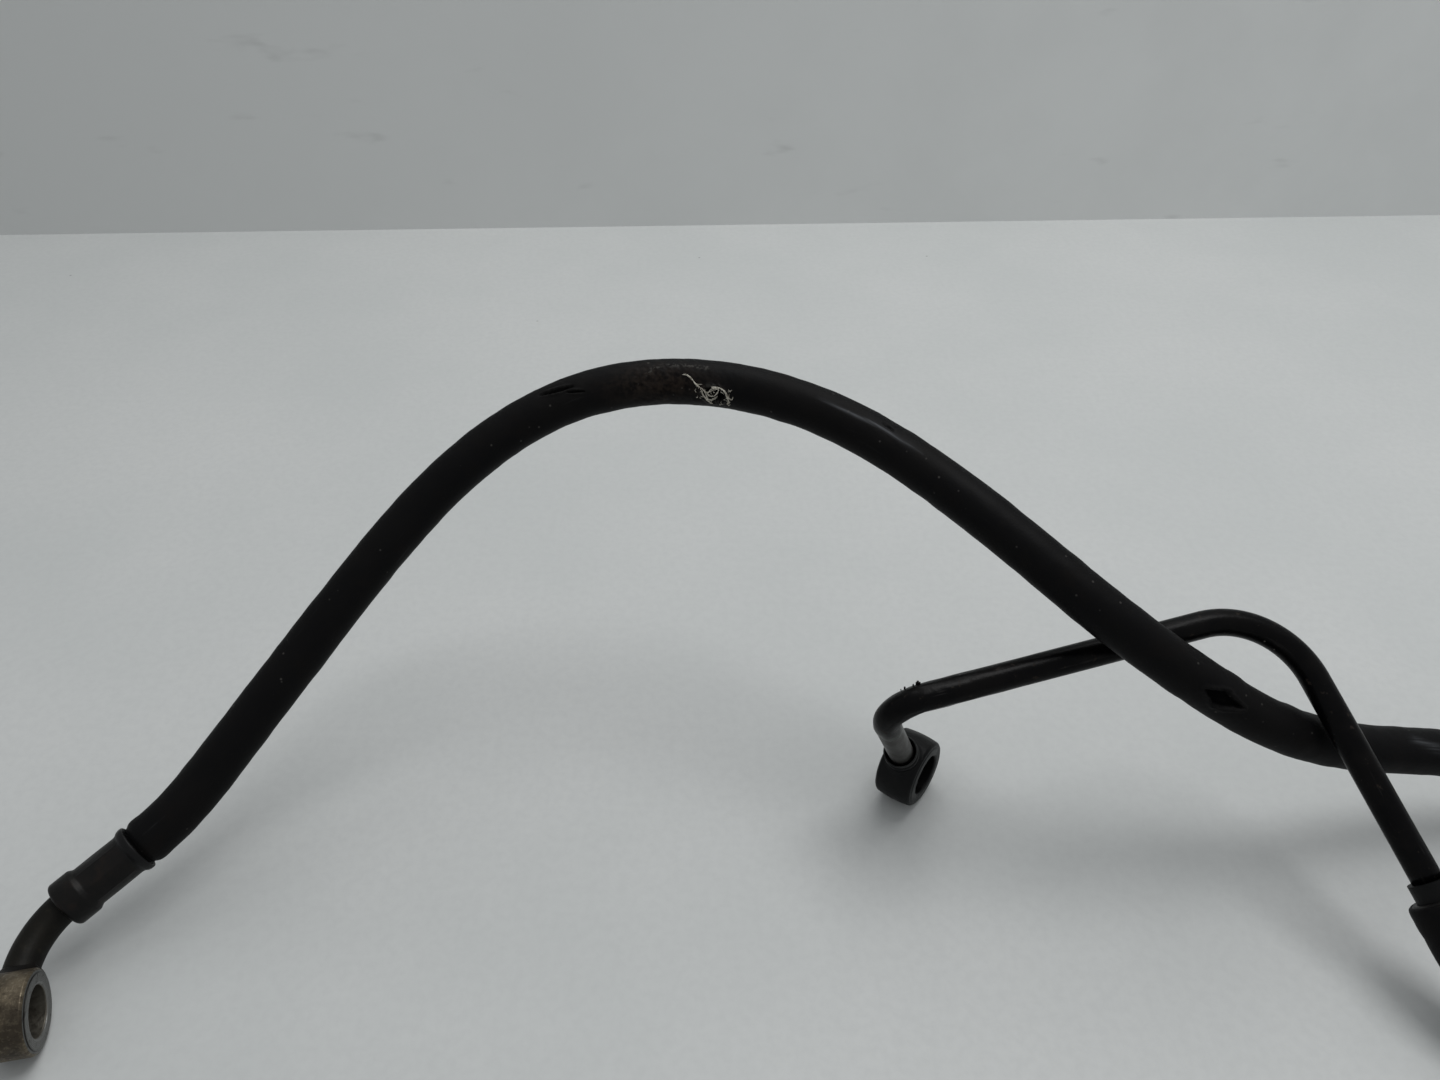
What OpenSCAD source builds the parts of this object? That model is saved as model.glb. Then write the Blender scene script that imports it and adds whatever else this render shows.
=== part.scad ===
// Brake line: a stiff flexible hose in a protective sleeve, crimped at one end to a banjo eye on a
// bent neck and at the other to a bent steel pipe that ends in a second banjo eye.
// The line lies as it comes to rest, with its origin on the ground in the middle of its footprint.
// All sizes are in millimetres, and all angles in degrees.

/* [Banjo eyes] */
// Bore for the banjo bolt
eye_bore_d = 10.2; // [9.6:0.1:10.8]
// Outer diameter of an eye at its faces
eye_d = 17; // [16.4:0.1:19]
// Width of an eye over both sealing lands
eye_w = 10; // [9.6:0.1:12]
// Height of a sealing land above the face round it
land_h = 0.25; // [0.15:0.05:0.4]
// Width of a sealing land, from the bore's chamfer outwards
land_w = 2.1; // [1.4:0.1:2.2]
// Chamfer at the mouth of a bore
bore_chamfer = 0.4; // [0.2:0.05:0.6]
// Chamfer at the outer corner of an eye
eye_chamfer = 0.5; // [0.3:0.05:0.7]
// Rise of the right eye's barrel-shaped rim above its edges
eye_crown = 0.35; // [0.2:0.05:0.6]
// Diameter of the fluid passage through an eye's wall
passage_d = 3; // [2:0.1:3.4]

/* [Left neck] */
// Outer diameter of the bent neck
neck_d = 7; // [6.6:0.1:8.2]
// Bore of the bent neck
neck_bore_d = 3; // [2:0.1:3.6]
// Radius of the neck's bend
neck_bend_r = 17; // [15:0.5:20]
// Angle of the neck's bend
neck_bend = 59; // [45:1:70]
// Turn of the bend's plane about the neck
neck_turn = -18; // [-40:1:40]
// Depth of the flat on the left eye that the neck is brazed to
neck_flat = 1; // [1:0.1:1.4]

/* [Steel pipe] */
// Outer diameter of the pipe
pipe_d = 6; // [5.6:0.1:6.4]
// Wall of the pipe
pipe_wall = 1; // [0.7:0.05:1.3]
// Thickness of the black coating on the pipe
coat_t = 0.12; // [0.08:0.01:0.2]
// Distance from the right eye's axis to the edge of the coating
coat_from = 17; // [15:0.5:22]
// Straight length from the right eye's axis to the first bend
pipe_run_1 = 33; // [20:0.5:36]
// Turn of the first bend's plane about the pipe
pipe_turn_1 = 48; // [30:0.5:70]
// Radius of the first bend
pipe_bend_r_1 = 7.5; // [7:0.5:12]
// Angle of the first bend
pipe_bend_1 = 106; // [90:0.5:120]
// Straight length between the bends
pipe_run_2 = 66.5; // [60:0.5:80]
// Turn of the second bend's plane about the pipe
pipe_turn_2 = -76.5; // [-100:0.5:-60]
// Radius of the second bend
pipe_bend_r_2 = 19.5; // [12:0.5:24]
// Angle of the second bend
pipe_bend_2 = 84.5; // [75:0.5:105]
// Straight length from the second bend to the hose fitting
pipe_run_3 = 45.5; // [38:0.5:56]

/* [Right eye's collar] */
// Outer diameter of the collar round the pipe
collar_d = 8.4; // [8:0.1:9.4]
// Height of the collar's rim above the eye's axis
collar_top = 11.5; // [10.5:0.1:12.5]
// Depth of the wide mouth inside the collar
collar_mouth = 1.4; // [0.8:0.1:1.8]
// Wall of the collar at its mouth
collar_wall = 0.6; // [0.4:0.05:0.8]
// Distance from the eye's axis to the floor of the pipe's socket
socket_floor = 7; // [6.6:0.1:7.4]

/* [Hose] */
// Bore of the inner tube
hose_bore_d = 3.3; // [3.2:0.05:3.6]
// Wall of the inner tube
liner_t = 0.95; // [0.7:0.05:1.2]
// Thickness of the braid
braid_t = 0.6; // [0.4:0.05:0.8]
// Thickness of the hose's own cover
cover_t = 0.9; // [0.6:0.05:1.2]
// Space between the hose and the protective sleeve
sleeve_gap = 0.2; // [0.15:0.05:0.4]
// Wall of the protective sleeve
sleeve_t = 1.1; // [0.8:0.05:1.3]
// Wall of the sleeve where it is stretched over the right ferrule
stretched_t = 0.75; // [0.5:0.05:0.9]

/* [Crimped ferrules] */
// Length of a ferrule
ferrule_l = 18; // [17:0.5:22]
// Wall of a ferrule
shell_t = 0.75; // [0.5:0.05:0.9]
// Thickness of the wall that closes a ferrule's end
end_wall = 1.3; // [1:0.1:1.6]
// Length of a ferrule's thick uncrimped shoulder
shoulder_l = 4.8; // [4.6:0.1:5.4]
// Rounding of the shoulder's outer corner
shoulder_round = 0.9; // [0.5:0.1:1]
// Length of a ferrule's open mouth
mouth_l = 2.6; // [2:0.1:3.4]
// Widening of the left ferrule's mouth, on the radius
left_flare = 0.75; // [0.5:0.05:0.9]
// Widening of the right ferrule's mouth, on the radius
right_flare = 0.3; // [0.2:0.05:0.5]

/* [Hose inserts] */
// Diameter of the barbs inside the hose
barb_d = 3.15; // [3:0.05:3.2]
// Depth of the grooves between the barbs
barb_depth = 0.12; // [0.08:0.01:0.2]
// Number of barbs
barbs = 4; // [2:1:6]
// Bore of an insert
insert_bore_d = 1.8; // [1.4:0.1:2]
// Thickness of the flange held by a ferrule's end wall
flange_t = 1.8; // [1.4:0.1:2]
// Length of the right insert's collar outside its ferrule
nose_l = 3.8; // [3:0.1:5]
// Outer diameter of the right insert's collar
nose_d = 8.2; // [8:0.1:8.4]

/* [Place of each end] */
// Left eye, distance to the right of the origin
left_x = -193.4; // [-220:0.1:-160]
// Left eye, distance behind the origin
left_y = -34; // [-60:0.1:-10]
// Heading of the left bore's axis
left_heading = 14; // [0:1:30]
// Dip of the left bore's axis
left_dip = 5; // [0:1:10]
// Lean of the left neck away from upright
left_lean = 82; // [60:1:90]
// Right eye, distance to the right of the origin
right_x = -3.2; // [-30:0.1:30]
// Right eye, distance behind the origin
right_y = 30.3; // [0:0.1:60]
// Heading of the right bore's axis
right_heading = -36; // [-60:0.5:-20]
// Dip of the right bore's axis
right_dip = -1; // [-8:0.5:8]
// Lean of the pipe away from upright
right_lean = -28; // [-45:0.5:-10]

/* [Hidden] */

fit = 0.05;
loose_fit = 0.12;
overcut = 1;
round_fn = 96;
hose_sides = 12;
pipe_sides = 18;
bend_steps = 8;

// Radii of the hose's layers, at the corners of its many-sided section
liner_in_r = hose_bore_d / 2;
liner_r = liner_in_r + liner_t;
braid_r = liner_r + braid_t;
cover_r = braid_r + cover_t;
sleeve_in_r = cover_r + sleeve_gap;
sleeve_r = sleeve_in_r + sleeve_t;

// A ferrule's radii follow from the hose that it grips
eye_r = eye_d / 2;
neck_r = neck_d / 2;
pipe_r = pipe_d / 2;
nose_r = nose_d / 2;
grip_r = cover_r;
crimp_r = grip_r + shell_t;
flange_r = max(nose_r, neck_r) + 0.5;
cavity_r = flange_r + loose_fit;
shoulder_r = cavity_r + shell_t;

// Along a ferrule, from its closed end to its mouth
flange_end = end_wall + flange_t;
hose_from = flange_end + loose_fit;
crimp_from = shoulder_l + 1;
mouth_from = ferrule_l - mouth_l;
sleeve_from = ferrule_l + 0.3;
nipple_end = mouth_from - 1;

// The sleeve clears the right ferrule's shoulder by its flats
flat_share = cos(180 / hose_sides);
stretched_in_r = (shoulder_r + fit) / flat_share;
stretched_r = stretched_in_r + stretched_t;

// Matrices that carry one place to the next
function shift(v) = [[1, 0, 0, v[0]], [0, 1, 0, v[1]], [0, 0, 1, v[2]], [0, 0, 0, 1]];
function about_x(a) = [[1, 0, 0, 0], [0, cos(a), -sin(a), 0], [0, sin(a), cos(a), 0], [0, 0, 0, 1]];
function about_y(a) = [[cos(a), 0, sin(a), 0], [0, 1, 0, 0], [-sin(a), 0, cos(a), 0], [0, 0, 0, 1]];
function about_z(a) = [[cos(a), -sin(a), 0, 0], [sin(a), cos(a), 0, 0], [0, 0, 1, 0], [0, 0, 0, 1]];
function point_of(m) = [m[0][3], m[1][3], m[2][3]];
function axis_of(m, k) = [m[0][k], m[1][k], m[2][k]];
function unit(v) = v / norm(v);

// A tube runs along Z, turns its bend's plane about Z, and bends towards X
function run(l) = shift([0, 0, l]);
function bend(turn, r, angle) = about_z(turn) * shift([r, 0, 0]) * about_y(angle) * shift([-r, 0, 0]);

// Each eye has its bore along X, its neck or pipe along Z, and its rim on the ground
function standing(crown, dip) = max([for (q = half_section(crown)) q[1] * cos(dip) + q[0] * abs(sin(dip))]);
left_z = standing(0, left_dip);
left_eye_at = shift([left_x, left_y, left_z]) * about_z(left_heading) * about_y(left_dip) * about_x(-left_lean);
right_z = standing(eye_crown, right_dip);
right_eye_at = shift([right_x, right_y, right_z]) * about_z(right_heading) * about_y(right_dip) * about_x(-right_lean);

// Each ferrule's closed end is at Z = 0 of its own place, and its mouth is towards +Z
neck_seat = eye_r - neck_flat;
neck_at = left_eye_at * run(neck_seat);
left_ferrule_at = neck_at * bend(neck_turn, neck_bend_r, neck_bend) * run(-end_wall);
pipe_bends = [
    [pipe_run_1, pipe_turn_1, pipe_bend_r_1, pipe_bend_1],
    [pipe_run_2, pipe_turn_2, pipe_bend_r_2, pipe_bend_2]
];
pipe_corner_1 = right_eye_at * run(pipe_run_1);
pipe_corner_2 = pipe_corner_1 * bend(pipe_turn_1, pipe_bend_r_1, pipe_bend_1) * run(pipe_run_2);
pipe_last = pipe_corner_2 * bend(pipe_turn_2, pipe_bend_r_2, pipe_bend_2);
right_ferrule_at = pipe_last * run(pipe_run_3 + nose_l);

// The free hose's route, chosen by hand from the left ferrule to the right one
free_route = [
    [-162.1, 18.0, 29.5], [-148.8, 32.5, 42.0], [-135.1, 46.3, 55.0], [-120.6, 59.4, 67.7],
    [-103.5, 70.6, 78.9], [-83.1, 77.9, 86.9], [-60.2, 79.0, 90.2], [-37.6, 74.0, 89.5],
    [-17.1, 63.8, 85.8], [1.0, 50.2, 79.9], [17.9, 36.1, 72.3], [35.4, 24.2, 62.6],
    [54.4, 17.9, 50.7], [74.1, 17.0, 38.2], [95.4, 19.0, 29.2], [118.1, 22.0, 23.8],
    [140.8, 22.1, 18.3], [162.5, 16.2, 12.6], [181.0, 2.9, 8.2], [193.4, -16.5, 6.0],
    [196.8, -39.3, 5.6], [189.0, -60.5, 5.8], [172.2, -75.0, 6.0], [150.6, -79.2, 6.0],
    [130.0, -71.3, 5.6], [115.3, -54.2, 6.3]
];

// A smooth curve through the points p, with one more point halfway along each stretch
function midway(p, i) = (9 * (p[i] + p[i + 1]) - p[max(i - 1, 0)] - p[min(i + 2, len(p) - 1)]) / 16;
function smooth(p) = [for (i = [0 : len(p) - 1]) each i < len(p) - 1 ? [p[i], midway(p, i)] : [p[i]]];

// Points on a ferrule's own axis
function on_axis(m, z) = point_of(m * run(z));

clear_l = 4;
hose_route = concat(
    [for (z = [hose_from, mouth_from, ferrule_l + clear_l]) on_axis(left_ferrule_at, z)],
    smooth(free_route),
    [for (z = [ferrule_l + clear_l, mouth_from, hose_from]) on_axis(right_ferrule_at, z)]
);

// Rings across a route: each is [centre, first normal, second normal]. A normal is carried from ring
// to ring without twisting.
function heading_at(p, i) = unit(unit(p[min(i + 1, len(p) - 1)] - p[max(i - 1, 0)]));
function bisect_at(p, i) =
    i == 0 ? unit(p[1] - p[0])
    : i == len(p) - 1 ? unit(p[i] - p[i - 1])
    : unit(unit(p[i] - p[i - 1]) + unit(p[i + 1] - p[i]));
function flatten(n, t) = unit(n - (n * t) * t);
function rings(p, start) = [
    for (
        i = 0, t = bisect_at(p, 0), n = flatten(start, t);
        i < len(p);
        i = i + 1, t = i < len(p) ? bisect_at(p, i) : t, n = flatten(n, t)
    ) [p[i], n, cross(t, n)]
];

hose_rings = rings(hose_route, axis_of(left_ferrule_at, 0));

// A tube with an outer and an inner radius at each ring, closed by a flat ring at both ends
module tube(ring, outer, inner, sides) {
    last = len(ring) - 1;
    points = [
        for (i = [0 : last], r = [outer[i], inner[i]], k = [0 : sides - 1])
            ring[i][0] + r * (cos(360 * k / sides) * ring[i][1] + sin(360 * k / sides) * ring[i][2])
    ];
    function at(i, inside, k) = (2 * i + inside) * sides + k % sides;
    sides_of_wall = [
        for (i = [0 : last - 1], k = [0 : sides - 1]) each [
            [at(i, 0, k), at(i + 1, 0, k + 1), at(i, 0, k + 1)],
            [at(i, 0, k), at(i + 1, 0, k), at(i + 1, 0, k + 1)],
            [at(i, 1, k), at(i, 1, k + 1), at(i + 1, 1, k + 1)],
            [at(i, 1, k), at(i + 1, 1, k + 1), at(i + 1, 1, k)]
        ]
    ];
    ends = [
        for (k = [0 : sides - 1]) each [
            [at(0, 0, k), at(0, 0, k + 1), at(0, 1, k + 1)],
            [at(0, 0, k), at(0, 1, k + 1), at(0, 1, k)],
            [at(last, 0, k), at(last, 1, k + 1), at(last, 0, k + 1)],
            [at(last, 0, k), at(last, 1, k), at(last, 1, k + 1)]
        ]
    ];
    polyhedron(points = points, faces = concat(sides_of_wall, ends), convexity = 10);
}

// The same radii at every ring
module plain_tube(ring, outer, inner, sides) {
    tube(ring, [for (r = ring) outer], [for (r = ring) inner], sides);
}

// Half of an eye's section, from its bore to its rim: [distance along the axis, radius]
function half_section(crown) = [
    [eye_w / 2 - bore_chamfer, eye_bore_d / 2],
    [eye_w / 2, eye_bore_d / 2 + bore_chamfer],
    [eye_w / 2, eye_bore_d / 2 + bore_chamfer + land_w - land_h],
    [eye_w / 2 - land_h, eye_bore_d / 2 + bore_chamfer + land_w],
    [eye_w / 2 - land_h, eye_r - eye_chamfer],
    [eye_w / 2 - land_h - eye_chamfer, eye_r],
    each [for (s = [0.8, 0.6, 0.4, 0.2]) if (crown > 0)
        [s * (eye_w / 2 - land_h - eye_chamfer), eye_r + crown * (1 - s * s)]]
];

// The turned body of an eye, with its bore along X
module eye_body(crown) {
    half = half_section(crown);
    last = len(half) - 1;
    rotate([0, 90, 0])
        rotate_extrude($fn = round_fn)
            polygon(concat(
                [for (q = half) [q[1], q[0]]],
                [for (i = [last : -1 : 0]) [half[i][1], -half[i][0]]]
            ));
}

module passage(from) {
    translate([0, 0, eye_bore_d / 2 - overcut])
        cylinder(h = from - eye_bore_d / 2 + 2 * overcut, d = passage_d, $fn = round_fn);
}

module left_banjo_eye() {
    color("dimgray")
        multmatrix(left_eye_at)
            difference() {
                eye_body(0);
                translate([0, 0, neck_seat])
                    cylinder(h = neck_flat + overcut, r = neck_r + loose_fit, $fn = round_fn);
                passage(neck_seat);
            }
}

module left_neck_pipe() {
    color("#3a352c")
        multmatrix(neck_at * about_z(neck_turn) * shift([neck_bend_r, 0, 0]))
            rotate([90, 0, 0])
                mirror([1, 0, 0])
                    rotate_extrude(angle = neck_bend, $fn = 2 * round_fn)
                        translate([neck_bend_r, 0])
                            difference() {
                                circle(r = neck_r, $fn = round_fn);
                                circle(d = neck_bore_d, $fn = round_fn);
                            }
}

// A crimped shell: closed end and shoulder, crimped grip on the hose, and a widened mouth
module ferrule(hole_r, flare) {
    rim = shell_t * 0.6;
    rotate_extrude($fn = round_fn)
        polygon([
            [hole_r, 0],
            [shoulder_r - shoulder_round, 0],
            each [for (a = [-75 : 15 : 0])
                [shoulder_r - shoulder_round * (1 - cos(a)), shoulder_round * (1 + sin(a))]],
            [shoulder_r, shoulder_l],
            [crimp_r, crimp_from],
            [crimp_r, mouth_from],
            [crimp_r + flare * 0.35, mouth_from + mouth_l * 0.35],
            [crimp_r + flare, ferrule_l - rim / 2],
            [crimp_r + flare - rim / 2, ferrule_l],
            [crimp_r + flare - rim, ferrule_l - rim / 4],
            [grip_r + flare * 0.35, mouth_from + mouth_l * 0.35],
            [grip_r, mouth_from],
            [grip_r, flange_end + loose_fit + (cavity_r - grip_r)],
            [cavity_r, flange_end + loose_fit],
            [cavity_r, end_wall],
            [hole_r, end_wall]
        ]);
}

module left_crimp_ferrule() {
    color("#2b2622")
        multmatrix(left_ferrule_at)
            ferrule(neck_r + loose_fit, left_flare);
}

module right_crimp_ferrule() {
    color("#1c1c1e")
        multmatrix(right_ferrule_at)
            ferrule(nose_r + fit, right_flare);
}

// Outline of a flange and a barbed nipple, from the end wall's inner face to the nipple's tip
barb_l = (nipple_end - flange_end) / (barbs + 1);
nipple_outline = [
    [flange_r, end_wall],
    [flange_r, flange_end],
    [barb_d / 2 - barb_depth, flange_end],
    each [for (i = [1 : barbs]) each [
        [barb_d / 2 - barb_depth, flange_end + i * barb_l],
        [barb_d / 2, flange_end + i * barb_l],
        [barb_d / 2 - barb_depth, flange_end + (i + 0.8) * barb_l]
    ]],
    [barb_d / 2 - barb_depth, nipple_end - barb_depth],
    [barb_d / 2 - 2 * barb_depth, nipple_end]
];

module left_hose_insert() {
    color("silver")
        multmatrix(left_ferrule_at)
            rotate_extrude($fn = round_fn)
                polygon(concat(
                    [[insert_bore_d / 2, end_wall]],
                    nipple_outline,
                    [[insert_bore_d / 2, nipple_end]]
                ));
}

module right_hose_insert() {
    color("#17181a")
        multmatrix(right_ferrule_at)
            rotate_extrude($fn = round_fn)
                polygon(concat(
                    [
                        [insert_bore_d / 2, end_wall],
                        [pipe_r + fit, end_wall],
                        [pipe_r + fit, -nose_l],
                        [nose_r, -nose_l],
                        [nose_r, end_wall]
                    ],
                    nipple_outline,
                    [[insert_bore_d / 2, nipple_end]]
                ));
}

module hose_liner() {
    color("#202020")
        plain_tube(hose_rings, liner_r, liner_in_r, hose_sides);
}

module hose_braid() {
    color("ivory")
        plain_tube(hose_rings, braid_r, liner_r, hose_sides);
}

module hose_cover() {
    color("#161616")
        plain_tube(hose_rings, cover_r, braid_r, hose_sides);
}

// The sleeve leaves the left ferrule's mouth and is stretched over the right ferrule
last_free = len(hose_rings) - 4;
function ring_at(m, z, like) = [on_axis(m, z), like[1], like[2]];
left_ring = hose_rings[1];
right_ring = hose_rings[len(hose_rings) - 2];
sleeve_rings = concat(
    [ring_at(left_ferrule_at, sleeve_from, left_ring)],
    [for (i = [2 : last_free]) hose_rings[i]],
    [for (z = [ferrule_l + clear_l, ferrule_l + 0.4, crimp_from, shoulder_round, 0.2])
        ring_at(right_ferrule_at, z, right_ring)]
);
stretched_rings = 4;
sleeve_outer = concat(
    [for (i = [1 : len(sleeve_rings) - stretched_rings]) sleeve_r],
    [stretched_r, stretched_r, stretched_r, stretched_r - stretched_t * 0.6]
);
sleeve_inner = concat(
    [for (i = [1 : len(sleeve_rings) - stretched_rings]) sleeve_in_r],
    [for (i = [1 : stretched_rings]) stretched_in_r]
);

module protective_sleeve() {
    color("#101011")
        tube(sleeve_rings, sleeve_outer, sleeve_inner, hose_sides);
}

// The pipe's centre line as places: the socket's floor, the bends and the fitting
function bend_places(m, row) = [for (i = [0 : bend_steps]) m * bend(row[1], row[2], row[3] * i / bend_steps)];
function pipe_places(from, to) = concat(
    [right_eye_at * run(from)],
    bend_places(pipe_corner_1, pipe_bends[0]),
    bend_places(pipe_corner_2, pipe_bends[1]),
    [right_ferrule_at * run(to)]
);
function pipe_rings(from, to) =
    rings([for (m = pipe_places(from, to)) point_of(m)], axis_of(right_eye_at, 0));

module hard_pipe() {
    color("gray")
        plain_tube(pipe_rings(socket_floor, end_wall), pipe_r, pipe_r - pipe_wall, pipe_sides);
}

module pipe_coating() {
    color("#0e0e10")
        plain_tube(pipe_rings(coat_from, -nose_l), pipe_r + coat_t, pipe_r, pipe_sides);
}

module right_banjo_eye() {
    collar_r = collar_d / 2;
    color("#1a1a1b")
        multmatrix(right_eye_at)
            difference() {
                union() {
                    eye_body(eye_crown);
                    translate([0, 0, socket_floor])
                        cylinder(h = collar_top - socket_floor, r = collar_r, $fn = round_fn);
                }
                rotate([0, 90, 0])
                    cylinder(h = eye_w, d = eye_bore_d, center = true, $fn = round_fn);
                translate([0, 0, socket_floor])
                    cylinder(h = collar_top - socket_floor + overcut, r = pipe_r + fit, $fn = round_fn);
                translate([0, 0, collar_top - collar_mouth])
                    cylinder(h = collar_mouth + overcut, r = collar_r - collar_wall, $fn = round_fn);
                passage(socket_floor);
            }
}

left_banjo_eye();
left_neck_pipe();
left_hose_insert();
left_crimp_ferrule();
hose_liner();
hose_braid();
hose_cover();
protective_sleeve();
right_crimp_ferrule();
right_hose_insert();
hard_pipe();
pipe_coating();
right_banjo_eye();
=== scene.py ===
"""The looks of a brake line: a black rubber sleeve over a flexible hose, a crimped ferrule and a steel
banjo eye on a bent neck at the left, and a coated steel pipe with a painted banjo eye at the right.
Shapes are worked out in millimetres and put into their meshes in metres."""

import bpy
import numpy as np
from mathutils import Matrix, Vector


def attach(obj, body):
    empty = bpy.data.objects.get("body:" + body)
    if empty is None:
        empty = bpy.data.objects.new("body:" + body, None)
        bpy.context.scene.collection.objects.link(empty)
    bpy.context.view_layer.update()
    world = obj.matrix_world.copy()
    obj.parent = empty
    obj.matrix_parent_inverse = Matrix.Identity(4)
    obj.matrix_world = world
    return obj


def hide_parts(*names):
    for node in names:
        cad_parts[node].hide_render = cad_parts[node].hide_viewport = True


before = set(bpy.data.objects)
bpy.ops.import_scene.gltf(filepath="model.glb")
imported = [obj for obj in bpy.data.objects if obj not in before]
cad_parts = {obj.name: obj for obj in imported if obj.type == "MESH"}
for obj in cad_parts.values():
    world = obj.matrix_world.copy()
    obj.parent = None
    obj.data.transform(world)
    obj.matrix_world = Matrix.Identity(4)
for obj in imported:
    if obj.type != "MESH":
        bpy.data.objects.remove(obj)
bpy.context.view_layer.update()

MM = 0.001
TURN = 2 * np.pi
UP = np.array([0, 0, 1.0])
rng = np.random.default_rng(11)


# Camera

LENS, SENSOR = 27.025, 36
CAMERA_AT, CAMERA_TILT = (-0.05, -0.146, 0.2199), 51.7


def make_camera():
    """The camera stands in front of the line, higher than it, and looks back and down."""
    data = bpy.data.cameras.new("camera")
    data.lens = LENS
    data.sensor_width = SENSOR
    data.clip_start = 0.01
    camera = bpy.data.objects.new("camera", data)
    camera.location = CAMERA_AT
    camera.rotation_euler = (np.radians(CAMERA_TILT), 0, 0)
    bpy.context.collection.objects.link(camera)
    bpy.context.scene.camera = camera


make_camera()


# Places: matrices in millimetres, as in the part's source

def shift(x, y, z):
    """A move, as a 4 by 4 matrix."""
    m = np.eye(4)
    m[:3, 3] = (x, y, z)
    return m


def about(axis, degrees):
    """A turn about one axis, as a 4 by 4 matrix."""
    c, s = np.cos(np.radians(degrees)), np.sin(np.radians(degrees))
    i, j = {"x": (1, 2), "y": (2, 0), "z": (0, 1)}[axis]
    m = np.eye(4)
    m[i, i] = m[j, j] = c
    m[i, j], m[j, i] = -s, s
    return m


def run(length):
    """Straight on along Z."""
    return shift(0, 0, length)


def bend(turn, r, angle):
    """Round an arc of radius r towards the direction turn, with no twist left in the place after it."""
    return about("z", turn) @ shift(r, 0, 0) @ about("y", angle) @ shift(-r, 0, 0) @ about("z", -turn)


NECK_SEAT, NECK_R, NECK_TURN, NECK_BEND_R, NECK_BEND = 7.5, 3.5, -18, 17, 59
PIPE_R, COAT_T = 3.0, 0.12
RISER_L, ACROSS_L, LAST_L, FITTING_L = 33, 66.5, 45.5, 3.8
TURN_1, BEND_R_1, BEND_1 = 48, 7.5, 106
TURN_2, BEND_R_2, BEND_2 = -76.5, 19.5, 84.5
LEFT_EYE = shift(-193.4, -34, 8.838) @ about("z", 14) @ about("y", 5) @ about("x", -82)
RIGHT_EYE = shift(-3.2, 30.3, 8.8495) @ about("z", -36) @ about("y", -1) @ about("x", 28)
NECK = LEFT_EYE @ run(NECK_SEAT)
LEFT_FERRULE = NECK @ bend(NECK_TURN, NECK_BEND_R, NECK_BEND) @ run(-1.3)
CORNER_1 = RIGHT_EYE @ run(RISER_L)
ACROSS = CORNER_1 @ bend(TURN_1, BEND_R_1, BEND_1)
CORNER_2 = ACROSS @ run(ACROSS_L)
# The source turns its frame at each bend and keeps the turn, so the second bend's turn adds the first
LAST_RUN = CORNER_2 @ bend(TURN_1 + TURN_2, BEND_R_2, BEND_2)
RIGHT_FERRULE = LAST_RUN @ run(LAST_L + FITTING_L)


# Lines, rings and surfaces

def spline(points, share):
    """A natural cubic spline through the points at shares, from 0 to 1, of the length of its chords."""
    p = np.asarray(points, float)
    h = np.linalg.norm(np.diff(p, axis=0), axis=1)
    t = np.concatenate([[0], np.cumsum(h)])
    a, b = np.eye(len(p)), np.zeros_like(p)
    i = np.arange(1, len(p) - 1)
    a[i, i - 1], a[i, i], a[i, i + 1] = h[:-1], 2 * (h[:-1] + h[1:]), h[1:]
    b[1:-1] = 6 * np.diff(np.diff(p, axis=0) / h[:, None], axis=0)
    m = np.linalg.solve(a, b)
    u = t[-1] * np.asarray(share)
    k = np.clip(np.searchsorted(t, u, side="right") - 1, 0, len(p) - 2)
    hi = ((u - t[k]) / h[k])[:, None]
    lo = 1 - hi
    w = h[k][:, None] ** 2 / 6
    return lo * p[k] + hi * p[k + 1] + ((lo**3 - lo) * m[k] + (hi**3 - hi) * m[k + 1]) * w


def lengths(line):
    """How far along a line each of its points is."""
    return np.concatenate([[0], np.cumsum(np.linalg.norm(np.diff(line, axis=0), axis=1))])


def unit(v):
    """Vectors of length one."""
    return v / np.linalg.norm(v, axis=-1, keepdims=True)


def across(t):
    """Across each direction t: the topmost direction, and the one beside it."""
    top = unit(UP - t[:, 2:3] * t)
    return top, np.cross(t, top)


def upright_rings(line):
    """The directions across a line, at each of its points."""
    return across(unit(np.gradient(line, axis=0)))


def swept(line, first, second, radius, angle):
    """A surface round a line: centre + radius (cos a first + sin a second)."""
    c, s = np.cos(angle)[..., None], np.sin(angle)[..., None]
    return line[:, None] + radius[..., None] * (c * first[:, None] + s * second[:, None])


def carried(place, local):
    """Points of a place's own frame, put into the row's frame."""
    return local @ place[:3, :3].T + place[:3, 3]


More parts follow.
